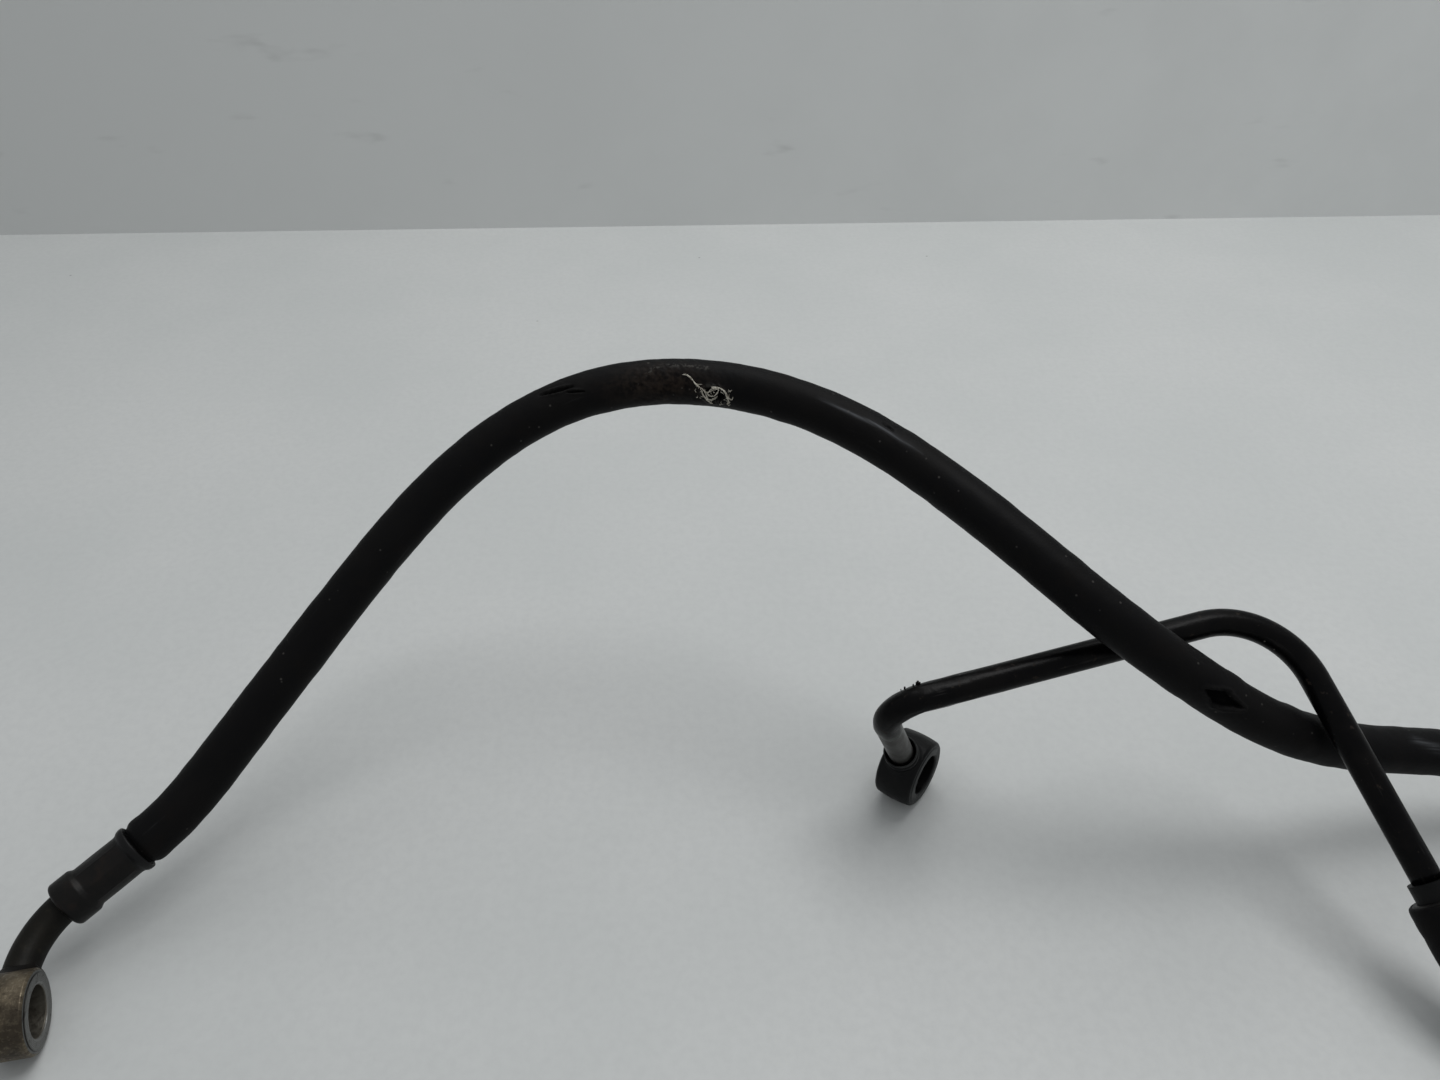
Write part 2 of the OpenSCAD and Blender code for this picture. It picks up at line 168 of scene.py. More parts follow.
def rounded(corners, cut, steps=5):
    """Each corner c of a closed outline becomes the curve (1-t)^2 a + 2t(1-t) c + t^2 b, where a and b lie
    'cut' before and after it. Gives the outline, and how much of an outer edge each of its points is."""
    c = np.asarray(corners, float)
    before, after = np.roll(c, 1, 0) - c, np.roll(c, -1, 0) - c
    lb, la = np.linalg.norm(before, axis=1, keepdims=True), np.linalg.norm(after, axis=1, keepdims=True)
    before, after = before / lb, after / la
    a, b = c + before * np.minimum(cut, 0.4 * lb), c + after * np.minimum(cut, 0.4 * la)
    held_a, held_b = a + before * np.minimum(cut / 2, 0.05 * lb), b + after * np.minimum(cut / 2, 0.05 * la)
    t = np.linspace(0, 1, steps)[None, :, None]
    curve = (1 - t) ** 2 * a[:, None] + 2 * t * (1 - t) * c[:, None] + t**2 * b[:, None]
    curve = np.concatenate([held_a[:, None], curve, held_b[:, None]], axis=1)
    sharp = np.clip(1.4 * (1 + (before * after).sum(1)), 0, 1)
    edge = sharp[:, None] * np.concatenate([[0], np.sin(np.pi * (0.1 + 0.8 * t.ravel())), [0]])[None]
    middle = np.arange(steps + 2) == (steps + 2) // 2
    keep = (sharp[:, None] > 0.02) | middle[None]
    return curve[keep], edge[keep]


def turned(place, outline, sides, axis="z", reshape=None):
    """An outline of [distance along the axis, radius] turned about the place's own X or Z. Gives the
    surface, the same points in the place's own frame, and the angle round the axis."""
    angle = TURN * np.arange(sides)[:, None] / sides
    along, radius = np.broadcast_arrays(outline[None, :, 0], outline[None, :, 1] + 0 * angle)
    if reshape is not None:
        along, radius = reshape(along, radius, angle)
    c, s = radius * np.cos(angle), radius * np.sin(angle)
    local = np.stack([along, s, c] if axis == "x" else [c, s, along], -1)
    return carried(place, local), local, angle


def sines(points, wave, count=14, seed=3):
    """Smooth unevenness from -1 to 1: a mean of sine waves in random directions, about 'wave' long."""
    draw = np.random.default_rng(seed)
    k = draw.normal(size=(count, points.shape[-1])) * TURN / (2 * wave)
    return np.sin(points @ k.T + draw.uniform(0, TURN, count)).sum(-1) / np.sqrt(count)


def piece(name, surfaces, replaced=()):
    """One object from several closed surfaces. Each is a grid of points that closes on itself along its
    rows, and either down its columns too or with a flat cap at both ends, with marks for its points."""
    names = sorted({n for s in surfaces for n in s["marks"]})
    points, faces, marks, start = [], [], {n: [] for n in names}, 0
    for s in surfaces:
        grid = s["grid"]
        rows, cols = grid.shape[:2]
        at = np.arange(rows * cols).reshape(rows, cols)
        below, beside = np.roll(at, -1, 0), np.roll(at, -1, 1)
        quads = np.stack([at, beside, np.roll(below, -1, 1), below], -1)
        if s.get("capped"):
            quads = quads[:-1]
        quads = quads.reshape(-1, 4)
        flat = grid.reshape(-1, 3)
        a, b, c, d = (flat[quads[:, k]] for k in range(4))
        volume = (a * np.cross(b, c)).sum() + (a * np.cross(c, d)).sum()
        caps = [at[0][::-1], at[-1]] if s.get("capped") else []
        step = -1 if volume < 0 else 1
        faces += (quads[:, ::step] + start).tolist() + [(ring[::step] + start).tolist() for ring in caps]
        points.append(flat)
        for n in names:
            values = np.broadcast_to(s["marks"].get(n, 0.0), (rows, cols, 3) if n == "own" else (rows, cols))
            marks[n].append(values.reshape(len(flat), -1))
        start += rows * cols
    mesh = bpy.data.meshes.new(name)
    mesh.from_pydata((np.concatenate(points) * MM).tolist(), [], faces)
    mesh.polygons.foreach_set("use_smooth", np.ones(len(faces), bool))
    for n in names:
        values = np.concatenate(marks[n]).astype(np.float32)
        if n == "own":
            mesh.attributes.new(n, "FLOAT_VECTOR", "POINT").data.foreach_set("vector", (values * MM).ravel())
        else:
            mesh.attributes.new(n, "FLOAT", "POINT").data.foreach_set("value", values.ravel())
    mesh.update()
    made = bpy.data.objects.new(name, mesh)
    bpy.context.collection.objects.link(made)
    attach(made, "root")
    if replaced:
        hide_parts(*replaced)
    return made


# The hose's route, in millimetres, as in the part's source

FREE_ROUTE = [
    [-162.1, 18.0, 29.5], [-148.8, 32.5, 42.0], [-135.1, 46.3, 55.0], [-120.6, 59.4, 67.7],
    [-103.5, 70.6, 78.9], [-83.1, 77.9, 86.9], [-60.2, 79.0, 90.2], [-37.6, 74.0, 89.5],
    [-17.1, 63.8, 85.8], [1.0, 50.2, 79.9], [17.9, 36.1, 72.3], [35.4, 24.2, 62.6],
    [54.4, 17.9, 50.7], [74.1, 17.0, 38.2], [95.4, 19.0, 29.2], [118.1, 22.0, 23.8],
    [140.8, 22.1, 18.3], [162.5, 16.2, 12.6], [181.0, 2.9, 8.2], [193.4, -16.5, 6.0],
    [196.8, -39.3, 5.6], [189.0, -60.5, 5.8], [172.2, -75.0, 6.0], [150.6, -79.2, 6.0],
    [130.0, -71.3, 5.6], [115.3, -54.2, 6.3],
]
HOSE_FROM, SLEEVE_FROM, SLEEVE_TO = 3.22, 18.3, 0.2


def on_axis(place, distances):
    """Points on a ferrule's own axis."""
    return [(place @ run(z))[:3, 3] for z in distances]


ROUTE = (on_axis(LEFT_FERRULE, (HOSE_FROM, 10, 16, 22)) + FREE_ROUTE
         + on_axis(RIGHT_FERRULE, (22, 16, 10, SLEEVE_TO)))
SHARES = np.linspace(0, 1, 6600)
ALONG = lengths(spline(ROUTE, SHARES))
HOSE_L = ALONG[-1]
SLEEVE_S = SLEEVE_FROM - HOSE_FROM


def hose_line(along):
    """Points of the hose's centre line at distances along it from the start of the hose."""
    return spline(ROUTE, np.interp(along, ALONG, SHARES))


# Protective sleeve, with its damage

SLEEVE_R, SLEEVE_IN_R = 5.4, 4.3
# Marks on the sleeve, as [distance along the hose, degrees from its top towards the front]
SLIT_LONG = [[149.6, 12], [153.8, 24], [158.2, 29]]
SLIT_SHORT = [[155.9, 38], [160.2, 52]]
SLIT_SMALL = [[232.2, 7], [235.2, 11]]
TEAR = [[188.9, 82], [190.0, 72], [192.3, 68], [193.9, 76], [194.8, 90], [193.4, 107], [191.0, 113],
        [189.6, 100]]
DIAMOND = [[318.8, 67], [321.0, 55], [323.8, 42], [325.8, 50], [329.2, 59], [327.0, 71], [325.7, 82],
           [323.0, 90], [320.9, 78]]
DIAMOND_TONGUE = [[321.4, 78], [324.6, 68]]
PALE_LINE = [[175.6, 40], [177.0, 22], [179.5, 16], [184.0, 15], [189.4, 20]]
SCUFF = [[216.5, 25], [221.6, 27], [226.0, 26], [232.4, 21], [237.5, 21], [243.5, 20]]
SCUFF_RIGHT = [[381.0, 16], [386.5, 34]]
WORN, WORN_SIZE = [179, 66], (14.5, 6.0)
# Slits, as [mark, half width, depth, height of the lip]
SLITS = [[SLIT_LONG, 0.5, 0.9, 0.3], [SLIT_SHORT, 0.32, 0.6, 0.2], [SLIT_SMALL, 0.35, 0.6, 0.1]]
# Swellings, as [distance along the hose, degrees round, height, spread along]
BULGES = [[326.8, -35, 0.22, 3.0], [345.8, -28, 0.2, 2.2]]


def spaced(start, end, zones, fine, coarse):
    """Distances from start to end that are fine in the zones, coarse away from them, and change slowly."""
    x = np.linspace(start, end, 30000)
    away = np.min([np.maximum(np.maximum(a - x, x - b), 0) for a, b in zones], axis=0)
    rows = (x[1] - x[0]) / (fine + (coarse - fine) * np.clip(away / 4, 0, 1))
    count = np.concatenate([[0], np.cumsum(rows[1:])])
    n = int(count[-1])
    return np.interp(np.arange(n + 1) * count[-1] / n, count, x)


def on_sleeve(mark):
    """A mark's distance along the hose and its distance round the sleeve, in millimetres."""
    m = np.asarray(mark, float)
    return m[..., 0], np.radians(m[..., 1]) * SLEEVE_R


def beside_stroke(x, y, mark):
    """How far each point is from a line of straight strokes, and how far along the line the nearest is."""
    px, py = on_sleeve(mark)
    total = lengths(np.stack([px, py], -1))
    best, where = np.full(x.shape, 1e9), np.zeros(x.shape)
    for i in range(len(px) - 1):
        dx, dy = px[i + 1] - px[i], py[i + 1] - py[i]
        t = np.clip(((x - px[i]) * dx + (y - py[i]) * dy) / (dx * dx + dy * dy), 0, 1)
        d = np.hypot(x - px[i] - t * dx, y - py[i] - t * dy)
        nearer = d < best
        best = np.where(nearer, d, best)
        where = np.where(nearer, (total[i] + t * (total[i + 1] - total[i])) / total[-1], where)
    return best, where


def inside(x, y, mark):
    """The distance in from a closed outline's edge, which is negative outside it."""
    px, py = on_sleeve(mark)
    edge, _ = beside_stroke(x, y, mark + mark[:1])
    crossings = np.zeros(x.shape, int)
    for x0, y0, x1, y1 in zip(px, py, np.roll(px, -1), np.roll(py, -1)):
        spans = (y0 > y) != (y1 > y)
        crossings += spans & (x < x0 + (x1 - x0) * (y - y0) / (y1 - y0 if y1 != y0 else 1e-9))
    return np.where(crossings % 2 == 1, edge, -edge)


def slit(x, y, mark, width, depth, lip):
    """A slit that narrows to its ends: a groove, and a lip that stands up beside it."""
    d, t = beside_stroke(x, y, mark)
    narrow = width * np.sqrt(np.clip(1 - (2 * t - 1) ** 2, 0.02, 1))
    groove = np.clip(1 - d / narrow, 0, 1) ** 0.6
    raised = lip * np.exp(-((d - 1.5 * narrow) / 0.3) ** 2) * np.sin(np.pi * np.clip(t, 0, 1))
    return raised - depth * groove, groove


def sleeve_outline(along):
    """Outer and inner radius of the sleeve: plain along the hose, drawn in at its cut left edge, and
    stretched over the right ferrule, whose shoulder it follows."""
    z = HOSE_L + SLEEVE_TO - along
    over = np.interp(z, [0.2, 0.35, 0.6, 1.0, 1.7, 4.8, 6.4, 15, 17.6, 19.3, 22.5, 25],
                     [5.6, 5.88, 6.08, 6.19, 6.24, 6.24, 6.1, 6.08, 6.12, 5.95, 5.48, 5.4])
    bore = np.interp(z, [0.2, 0.9, 5, 6.2, 17.5, 18.6, 23], [5.25, 5.52, 5.52, 5.36, 5.34, 5.1, SLEEVE_IN_R])
    cut = np.maximum(along - SLEEVE_S, 0)
    return over - 0.72 * np.exp(-((cut / 0.9) ** 2)) + 0.08 * np.exp(-((cut - 2.6) / 1.2) ** 2), bore


def sleeve_damage(x, y, straight):
    """How far each point of the sleeve moves out, by its unevenness and its damage, and marks from 0 to 1
    for how deep it lies in a cut or tear, for painted shade there, and for what is worn, pale (pale threads,
    and painted glints on the slits' lips) or scuffed."""
    free = np.clip((HOSE_L - 26 - x) / 20, 0.25, 1)
    change = 0.05 * free * sines(straight, 9.0) + 0.015 * sines(straight, 1.6, seed=5)
    # How deep each point lies in a cut or tear, for the painted shade there
    hollow, lips = np.zeros(x.shape), np.zeros(x.shape)
    for mark, width, depth, lip in SLITS:
        moved, groove = slit(x, y, mark, width, depth, lip)
        change += moved
        hollow = np.maximum(hollow, groove)
        # The slits' raised lips, for painted glints on them
        lips = np.maximum(lips, (moved > 0.04) * np.clip(moved / lip, 0, 1))
    torn = inside(x, y + 0.25 * sines(straight, 1.2, seed=8), TEAR)
    holed = inside(x, y + 0.12 * sines(straight, 1.0, seed=9), DIAMOND)
    tongue, _ = beside_stroke(x, y, DIAMOND_TONGUE)
    for depth_in, deep, rim in ((torn, 0.98, 0.3), (holed, 1.04, 0.28)):
        pit = np.clip(depth_in / 0.38, 0, 1)
        change += -deep * pit + rim * np.exp(-((depth_in + 0.45) / 0.4) ** 2)
        hollow = np.maximum(hollow, pit)
    change += 0.45 * np.clip(1 - tongue / 0.55, 0, 1) * (holed > 0)
    for where, degrees, height, spread in BULGES:
        bx, by = on_sleeve([where, degrees])
        change += height * np.exp(-((x - bx) / spread) ** 2 - ((y - by) / 3.5) ** 2)
    worn_x, worn_y = on_sleeve(WORN)
    worn = np.clip(1.25 - np.hypot((x - worn_x) / WORN_SIZE[0], (y - worn_y) / WORN_SIZE[1]), 0, 1)
    change += worn * (0.09 * sines(straight, 1.3, seed=21) - 0.08)
    pale_edge, _ = beside_stroke(x, y, PALE_LINE)
    tear_edge = np.exp(-(torn / 0.9) ** 2)
    rim_edge = np.exp(-((holed + 0.35) / 0.3) ** 2)
    # Pale threads and edges at the tear and along the pale line, a faint pale rim round the diamond, and
    # painted glints on the slits' lips
    pale = np.max([np.exp(-(pale_edge / 0.5) ** 2), 0.75 * tear_edge, 0.1 * rim_edge, 0.22 * lips], axis=0)
    scuff_d, scuff_t = beside_stroke(x, y, SCUFF)
    side_d, _ = beside_stroke(x, y, SCUFF_RIGHT)
    scuff = np.maximum(np.exp(-(scuff_d / 0.42) ** 2) * np.sin(np.pi * np.clip(scuff_t, 0.04, 0.96)) ** 0.5,
                       0.6 * np.exp(-(side_d / 1.1) ** 2))
    return change, {"hollow": hollow, "worn": worn, "pale": pale, "scuff": scuff}


def make_sleeve():
    """Radius = outline + unevenness + damage, over a grid of distance along and angle round. Its rows are
    closer together at the marks, and its columns at the front, where the marks are."""
    zones = [(SLEEVE_S, SLEEVE_S + 1.5), (149, 161), (172, 197), (231, 236.5), (317.5, 330.5),
             (HOSE_L - 3, HOSE_L)]
    along = spaced(SLEEVE_S, HOSE_L, zones, 0.24, 1.45)
    back = np.linspace(HOSE_L, SLEEVE_S, 190)
    sides, facing = 88, np.radians(60)
    phase = facing - np.pi + TURN * np.arange(sides) / sides
    angle = (phase - 0.5 * np.sin(phase - facing))[None]
    x, y = np.broadcast_arrays(along[:, None], angle * SLEEVE_R)
    straight = np.stack([x, SLEEVE_R * np.cos(angle) + 0 * x, SLEEVE_R * np.sin(angle) + 0 * x], -1)
    change, damage = sleeve_damage(x, y, straight)
    outer, _ = sleeve_outline(along)
    _, bore = sleeve_outline(back)
    inner = bore[:, None] + 0 * angle
    radius = np.concatenate([outer[:, None] + change, inner])

    rings, at = np.concatenate([along, back]), np.linspace(0, HOSE_L, 1500)
    top, beside = (unit(np.stack([np.interp(rings, at, v[:, k]) for k in range(3)], -1))
                   for v in upright_rings(hose_line(at)))
    own = np.stack([rings[:, None] + 0 * radius, radius * np.cos(angle), radius * np.sin(angle)], -1)
    marks = {"own": own}
    for name, values in damage.items():
        # The inner wall gets painted shade, at 0.6 of the depth mark, and no other marks
        within = np.full(inner.shape, 0.6 if name == "hollow" else 0.0)
        marks[name] = np.concatenate([values, within])
    grid = swept(hose_line(rings), top, beside, radius, np.broadcast_to(angle, radius.shape))
    return piece("rubber_sleeve", [{"grid": grid, "marks": marks}], ["protective_sleeve"])


def make_layer(name, outer, inner, node):
    """One layer of the hose inside the sleeve: a tube along the whole route."""
    along = np.linspace(0, ALONG[np.searchsorted(ALONG, HOSE_L - 3.1)], 300)
    line = hose_line(along)
    top, beside = upright_rings(line)
    both = np.concatenate([np.arange(300), np.arange(300)[::-1]])
    radius = np.repeat([outer, inner], 300)[:, None] + np.zeros((1, 32))
    angle = np.broadcast_to(TURN * np.arange(32) / 32, radius.shape)
    grid = swept(line[both], top[both], beside[both], radius, angle)
    own = np.stack([along[both][:, None] + 0 * radius, radius * np.cos(angle), radius * np.sin(angle)], -1)
    return piece(name, [{"grid": grid, "marks": {"own": own}}], [node])


sleeve = make_sleeve()
hose_cover = make_layer("hose_outer_cover", 4.1, 3.2, "hose_cover")
hose_braid = make_layer("hose_braid_layer", 3.2, 2.6, "hose_braid")
hose_liner = make_layer("hose_inner_tube", 2.6, 1.65, "hose_liner")


# Frayed fibres at the tear

# Strands as [distance along, degrees round, height above the sleeve]
STRANDS = [
    [[183.9, 42, 0.1], [184.8, 45, 0.5], [186.3, 54, 0.35], [187.6, 65, 0.3], [189.0, 76, 0.3],
     [190.0, 92, 0.25], [190.6, 106, 0.3], [191.9, 121, 0.1]],
    [[187.0, 62, 0.0], [188.3, 72, 0.4], [189.3, 88, 0.3], [190.6, 108, 0.35], [191.4, 118, 0.1]],
    [[188.9, 75, 0.1], [190.4, 81, 0.45], [191.5, 73, 0.6], [193.0, 71, 0.4], [192.7, 82, 0.2],
     [191.5, 92, 0.1], [190.4, 88, 0.2], [189.8, 80, 0.1]],
    [[190.9, 70, 0.2], [192.2, 66, 0.5], [193.7, 69, 0.4], [194.6, 78, 0.3], [195.5, 89, 0.25],
     [196.3, 93, 0.3], [196.8, 83, 0.5]],
    [[195.0, 84, 0.2], [195.5, 92, 0.4], [195.8, 100, 0.3], [195.1, 111, 0.1]],
    [[190.0, 96, 0.0], [190.6, 101, 0.3], [191.8, 99, 0.2], [192.6, 90, 0.1]],
]
STRAND_R, HAIR_R = 0.065, 0.04


def strand(points, thickness):
    """A thin round strand through points on the sleeve: its line wavers a little, and its ends taper."""
    p = np.asarray(points, float)
    base = hose_line(p[:, 0])
    fine = hose_line(np.stack([p[:, 0] - 0.5, p[:, 0] + 0.5], 1).ravel()).reshape(-1, 2, 3)
    top, beside = across(unit(fine[:, 1] - fine[:, 0]))
    a = np.radians(p[:, 1])[:, None]
    through = base + (SLEEVE_R + p[:, 2:3]) * (np.cos(a) * top + np.sin(a) * beside)
    share = np.linspace(0, 1, 34)
    line = spline(through, share) + 0.06 * rng.normal(size=(34, 3)) * np.sin(np.pi * share)[:, None]
    t = unit(np.gradient(line, axis=0))
    first = unit(np.cross(t, [0.3, 0.2, 1.0]))
    radius = thickness * (0.25 + 0.75 * np.sin(np.pi * share) ** 0.4)[:, None] * np.ones((1, 6))
    angle = np.broadcast_to(TURN * np.arange(6) / 6, radius.shape)
    return {"grid": swept(line, first, np.cross(t, first), radius, angle), "capped": True, "marks": {}}


def make_fibres():
    """Three strands for each line of the tear, and short hairs round it."""
    found = []
    for points in STRANDS:
        for k in range(3):
            p = np.array(points, float)
            p += rng.normal(size=p.shape) * [0.12, 1.1, 0.06]
            found.append(strand(p, STRAND_R))
    for k in range(30):
        along, degrees = rng.uniform(187.5, 196.5), rng.uniform(66, 116)
        way, reach = rng.uniform(0, TURN), rng.uniform(0.4, 1.3)
        middle = [along + 0.5 * reach * np.cos(way), degrees + 6 * reach * np.sin(way), 0.3]
        end = [along + reach * np.cos(way + 0.6), degrees + 11 * reach * np.sin(way + 0.6), 0.12]
        found.append(strand([[along, degrees, 0.05], middle, end], HAIR_R))
    return piece("frayed_fibres", found)


fibres = make_fibres()

cord_path = hose_line(np.linspace(SLEEVE_S, HOSE_L, 260)) * MM


# Left end: banjo eye, neck and crimped ferrule

EYE_BORE_R, EYE_R, HALF_W, LAND_H, LAND_W = 5.1, 8.5, 5.0, 0.25, 2.1
BORE_CHAMFER, EYE_CHAMFER = 0.4, 0.5


def eye_outline(crown, cut):
    """The closed section of an eye as [distance along the bore, radius], with its corners rounded."""
    side = HALF_W - LAND_H - EYE_CHAMFER
    half = [[HALF_W - BORE_CHAMFER, EYE_BORE_R], [HALF_W, EYE_BORE_R + BORE_CHAMFER],
            [HALF_W, EYE_BORE_R + BORE_CHAMFER + LAND_W - LAND_H],
            [HALF_W - LAND_H, EYE_BORE_R + BORE_CHAMFER + LAND_W],
            [HALF_W - LAND_H, EYE_R - EYE_CHAMFER], [side, EYE_R]]
    half += [[s * side, EYE_R + crown * (1 - s * s)] for s in (0.85, 0.7, 0.55, 0.4, 0.25, 0.1)]
    bore = [[x, EYE_BORE_R] for x in np.arange(-4.2, 4.3, 0.3)]
    return rounded(half + [[-x, r] for x, r in half[::-1]] + bore, cut)


def with_passage(along, radius, angle):
    """The bore's wall sinks away round the fluid passage, on the side of the neck or pipe."""
    round_way = EYE_BORE_R * (((angle + np.pi) % TURN) - np.pi)
    d = np.hypot(along, round_way)
    deep = np.clip((1.6 - d) / 0.25, 0, 1) * (np.abs(radius - EYE_BORE_R) < 0.02)
    return along, radius + 2.4 * deep


def eye_body(place, crown, cut):
    """An eye's surface, with marks for its edges, its faces, its bore and its depth in the passage."""
    outline, edge = eye_outline(crown, cut)
    grid, local, _ = turned(place, outline, 200, "x", with_passage)
    radius = np.hypot(local[..., 1], local[..., 2])
    face = (np.abs(local[..., 0]) > HALF_W - LAND_H - 0.06) * 1.0
    bore = (radius < EYE_BORE_R + 0.05) * (np.abs(local[..., 0]) < HALF_W - BORE_CHAMFER + 0.05)
    passage = (radius < EYE_R - 0.9) * (np.abs(local[..., 0]) < 2)
    # How deep each point lies in the fluid passage, for the painted shade there
    hollow = np.clip((radius - EYE_BORE_R - 0.3) / 1.5, 0, 1) * passage
    marks = {"own": local, "edge": edge[None], "face": face, "bore": bore * 1.0, "hollow": hollow}
    return {"grid": grid, "marks": marks}


def joint_ring(place, radius, width, height, crown, drop=0.0):
    """The concave fillet where a round neck meets an eye: over the eye's own surface, its height is
    height (1-t)^2 at the share t of its width. It closes under the surface."""
    angle = TURN * np.arange(120)[:, None] / 120
    t = np.concatenate([np.linspace(0, 1, 9), [1.0, 0.0, 0.0]])[None]
    sink = np.array([0.0] * 9 + [-0.5, -0.5, 0.0])[None]
    c, s = np.abs(np.cos(angle)), np.sin(angle)
    wide = np.minimum(width, np.maximum((HALF_W - 0.55) / np.maximum(c, 0.01) - radius, 0.15))
    inward = np.array([0.0] * 10 + [-0.5, -0.5])[None]
    rho = radius + wide * t + inward
    x, y = rho * np.cos(angle), rho * s
    surface = np.sqrt((EYE_R + crown * np.clip(1 - (x / 4.25) ** 2, 0, 1)) ** 2 - y**2)
    blob = drop * np.exp(-(((angle - np.radians(-35)) + np.pi) % TURN - np.pi) ** 2 / 0.05)
    z = surface + sink + (height + blob) * (1 - t) ** 2
    local = np.stack(np.broadcast_arrays(x, y, z), -1)
    return {"grid": carried(place, local), "marks": {"own": local, "edge": 0.0, "braze": 1.0}}


def pipe_surface(places, outer, inner, sides=56):
    """A tube whose rings are places: its outer wall, then its inner wall back to the start."""
    m = np.array(places)
    n = len(m)
    both = np.concatenate([np.arange(n), np.arange(n)[::-1]])
    angle = np.broadcast_to(TURN * np.arange(sides) / sides, (2 * n, sides))
    radius = np.concatenate([np.broadcast_to(outer, (n, sides)), np.broadcast_to(inner, (n, sides))])
    line = m[both, :3, 3]
    far = lengths(m[:, :3, 3])[both]
    own = np.stack([far[:, None] + 0 * radius, radius * np.cos(angle), radius * np.sin(angle)], -1)
    return {"grid": swept(line, m[both, :3, 0], m[both, :3, 1], radius, angle), "marks": {"own": own}}


def make_left_eye():
    """The bare steel eye: straight rim, turned faces."""
    return piece("left_eye_dressed", [eye_body(LEFT_EYE, 0, 0.16)], ["left_banjo_eye"])


def make_neck():
    """A tube round one bend, and the braze at its foot."""
    places = [NECK @ run(-0.2)]
    places += [NECK @ bend(NECK_TURN, NECK_BEND_R, a) for a in np.linspace(0, NECK_BEND, 40)]
    neck = pipe_surface(places, NECK_R, 1.5)
    neck["marks"]["braze"] = 0.0
    braze = joint_ring(LEFT_EYE, NECK_R, 1.4, 1.1, 0, 0.7)
    return piece("left_neck_dressed", [neck, braze], ["left_neck_pipe"])


def crimped(along, radius, angle):
    """Eight flats pressed into the grip, deepest halfway along it, with soft ridges between them."""
    sector = TURN / 8
    flat = np.cos(sector / 2) / np.cos((angle + 0.3) % sector - sector / 2)
    share = np.clip((along - 5.6) / 1.2, 0, 1) * np.clip((15.6 - along) / 1.5, 0, 1) * (radius > 4.6)
    ridge = np.exp(-(((angle + 0.3) % sector - sector / 2) ** 2 - (sector / 2) ** 2) ** 2 / 0.0006)
    return along, radius * (1 - 0.55 * share * (1 - flat)) + 0.05 * share * ridge


def make_left_ferrule():
    """The section of a crimped shell: closed end, round shoulder, grip, and a mouth that swells to a lip."""
    a = np.radians(np.arange(-75, 1, 15))
    shoulder = [[0.9 * (1 + np.sin(t)), 5.47 - 0.9 * (1 - np.cos(t))] for t in a]
    outline = [[0, 3.62], [0, 4.57]] + shoulder + [
        [4.8, 5.47], [5.8, 4.85], [10, 4.86], [15.2, 4.87], [15.9, 5.0], [16.5, 5.45], [17.2, 5.62],
        [17.8, 5.6], [18, 5.35], [17.8, 5.12], [16.3, 4.4], [15.4, 4.1], [3.84, 4.1], [3.22, 4.72],
        [1.3, 4.72], [1.3, 3.62]]
    section, edge = rounded(outline, 0.25)
    grid, local, _ = turned(LEFT_FERRULE, section, 192, "z", crimped)
    lip = np.clip((local[..., 2] - 15.3) / 0.7, 0, 1)
    shell = {"grid": grid, "marks": {"own": local[..., [2, 0, 1]], "edge": edge[None], "lip": lip}}
    return piece("left_ferrule_dressed", [shell], ["left_crimp_ferrule"])


make_left_eye()
make_neck()
make_left_ferrule()


# Right end: banjo eye with its collar, steel pipe and its coating

EYE_CROWN = 0.35


def make_right_eye():
    """The painted body, the collar with its wide mouth and thick lip, and the fillet under it."""
    collar = [[6.2, 3.05], [6.2, 4.1], [8.4, 3.95], [9.6, 3.84], [10.0, 4.08], [10.5, 4.22], [11.0, 4.12],
              [11.3, 3.88], [11.9, 3.88], [12.4, 4.12], [12.75, 4.12], [12.85, 3.85], [12.6, 3.6],
              [11.2, 3.5], [10.2, 3.5], [10.0, 3.05]]
    outline, edge = rounded(collar, 0.12)
    grid, local, _ = turned(RIGHT_EYE, outline, 120)
    # Inside the collar's mouth, for the painted shade there
    hollow = (np.hypot(local[..., 0], local[..., 1]) < 3.58) * 1.0
    rim = {"grid": grid, "marks": {"own": local, "edge": edge[None], "hollow": hollow}}
    surfaces = [eye_body(RIGHT_EYE, EYE_CROWN, 0.3), rim, joint_ring(RIGHT_EYE, 4.0, 0.8, 0.5, EYE_CROWN)]
    return piece("right_eye_dressed", surfaces, ["right_banjo_eye"])


def pipe_places(start, end):
    """The pipe's centre line as places: up from the eye, round the first bend, across, round the second
    bend, and down to the hose fitting."""
    found = [RIGHT_EYE @ run(z) for z in np.arange(start, RISER_L, 0.8)]
    found += [CORNER_1 @ bend(TURN_1, BEND_R_1, a) for a in np.linspace(0, BEND_1, 36)]
    found += [ACROSS @ run(z) for z in np.arange(2.5, 66, 2.5)]
    found += [CORNER_2 @ bend(TURN_1 + TURN_2, BEND_R_2, a) for a in np.linspace(0, BEND_2, 36)]
    found += [LAST_RUN @ run(z) for z in np.linspace(2, end, 20)]
    return found


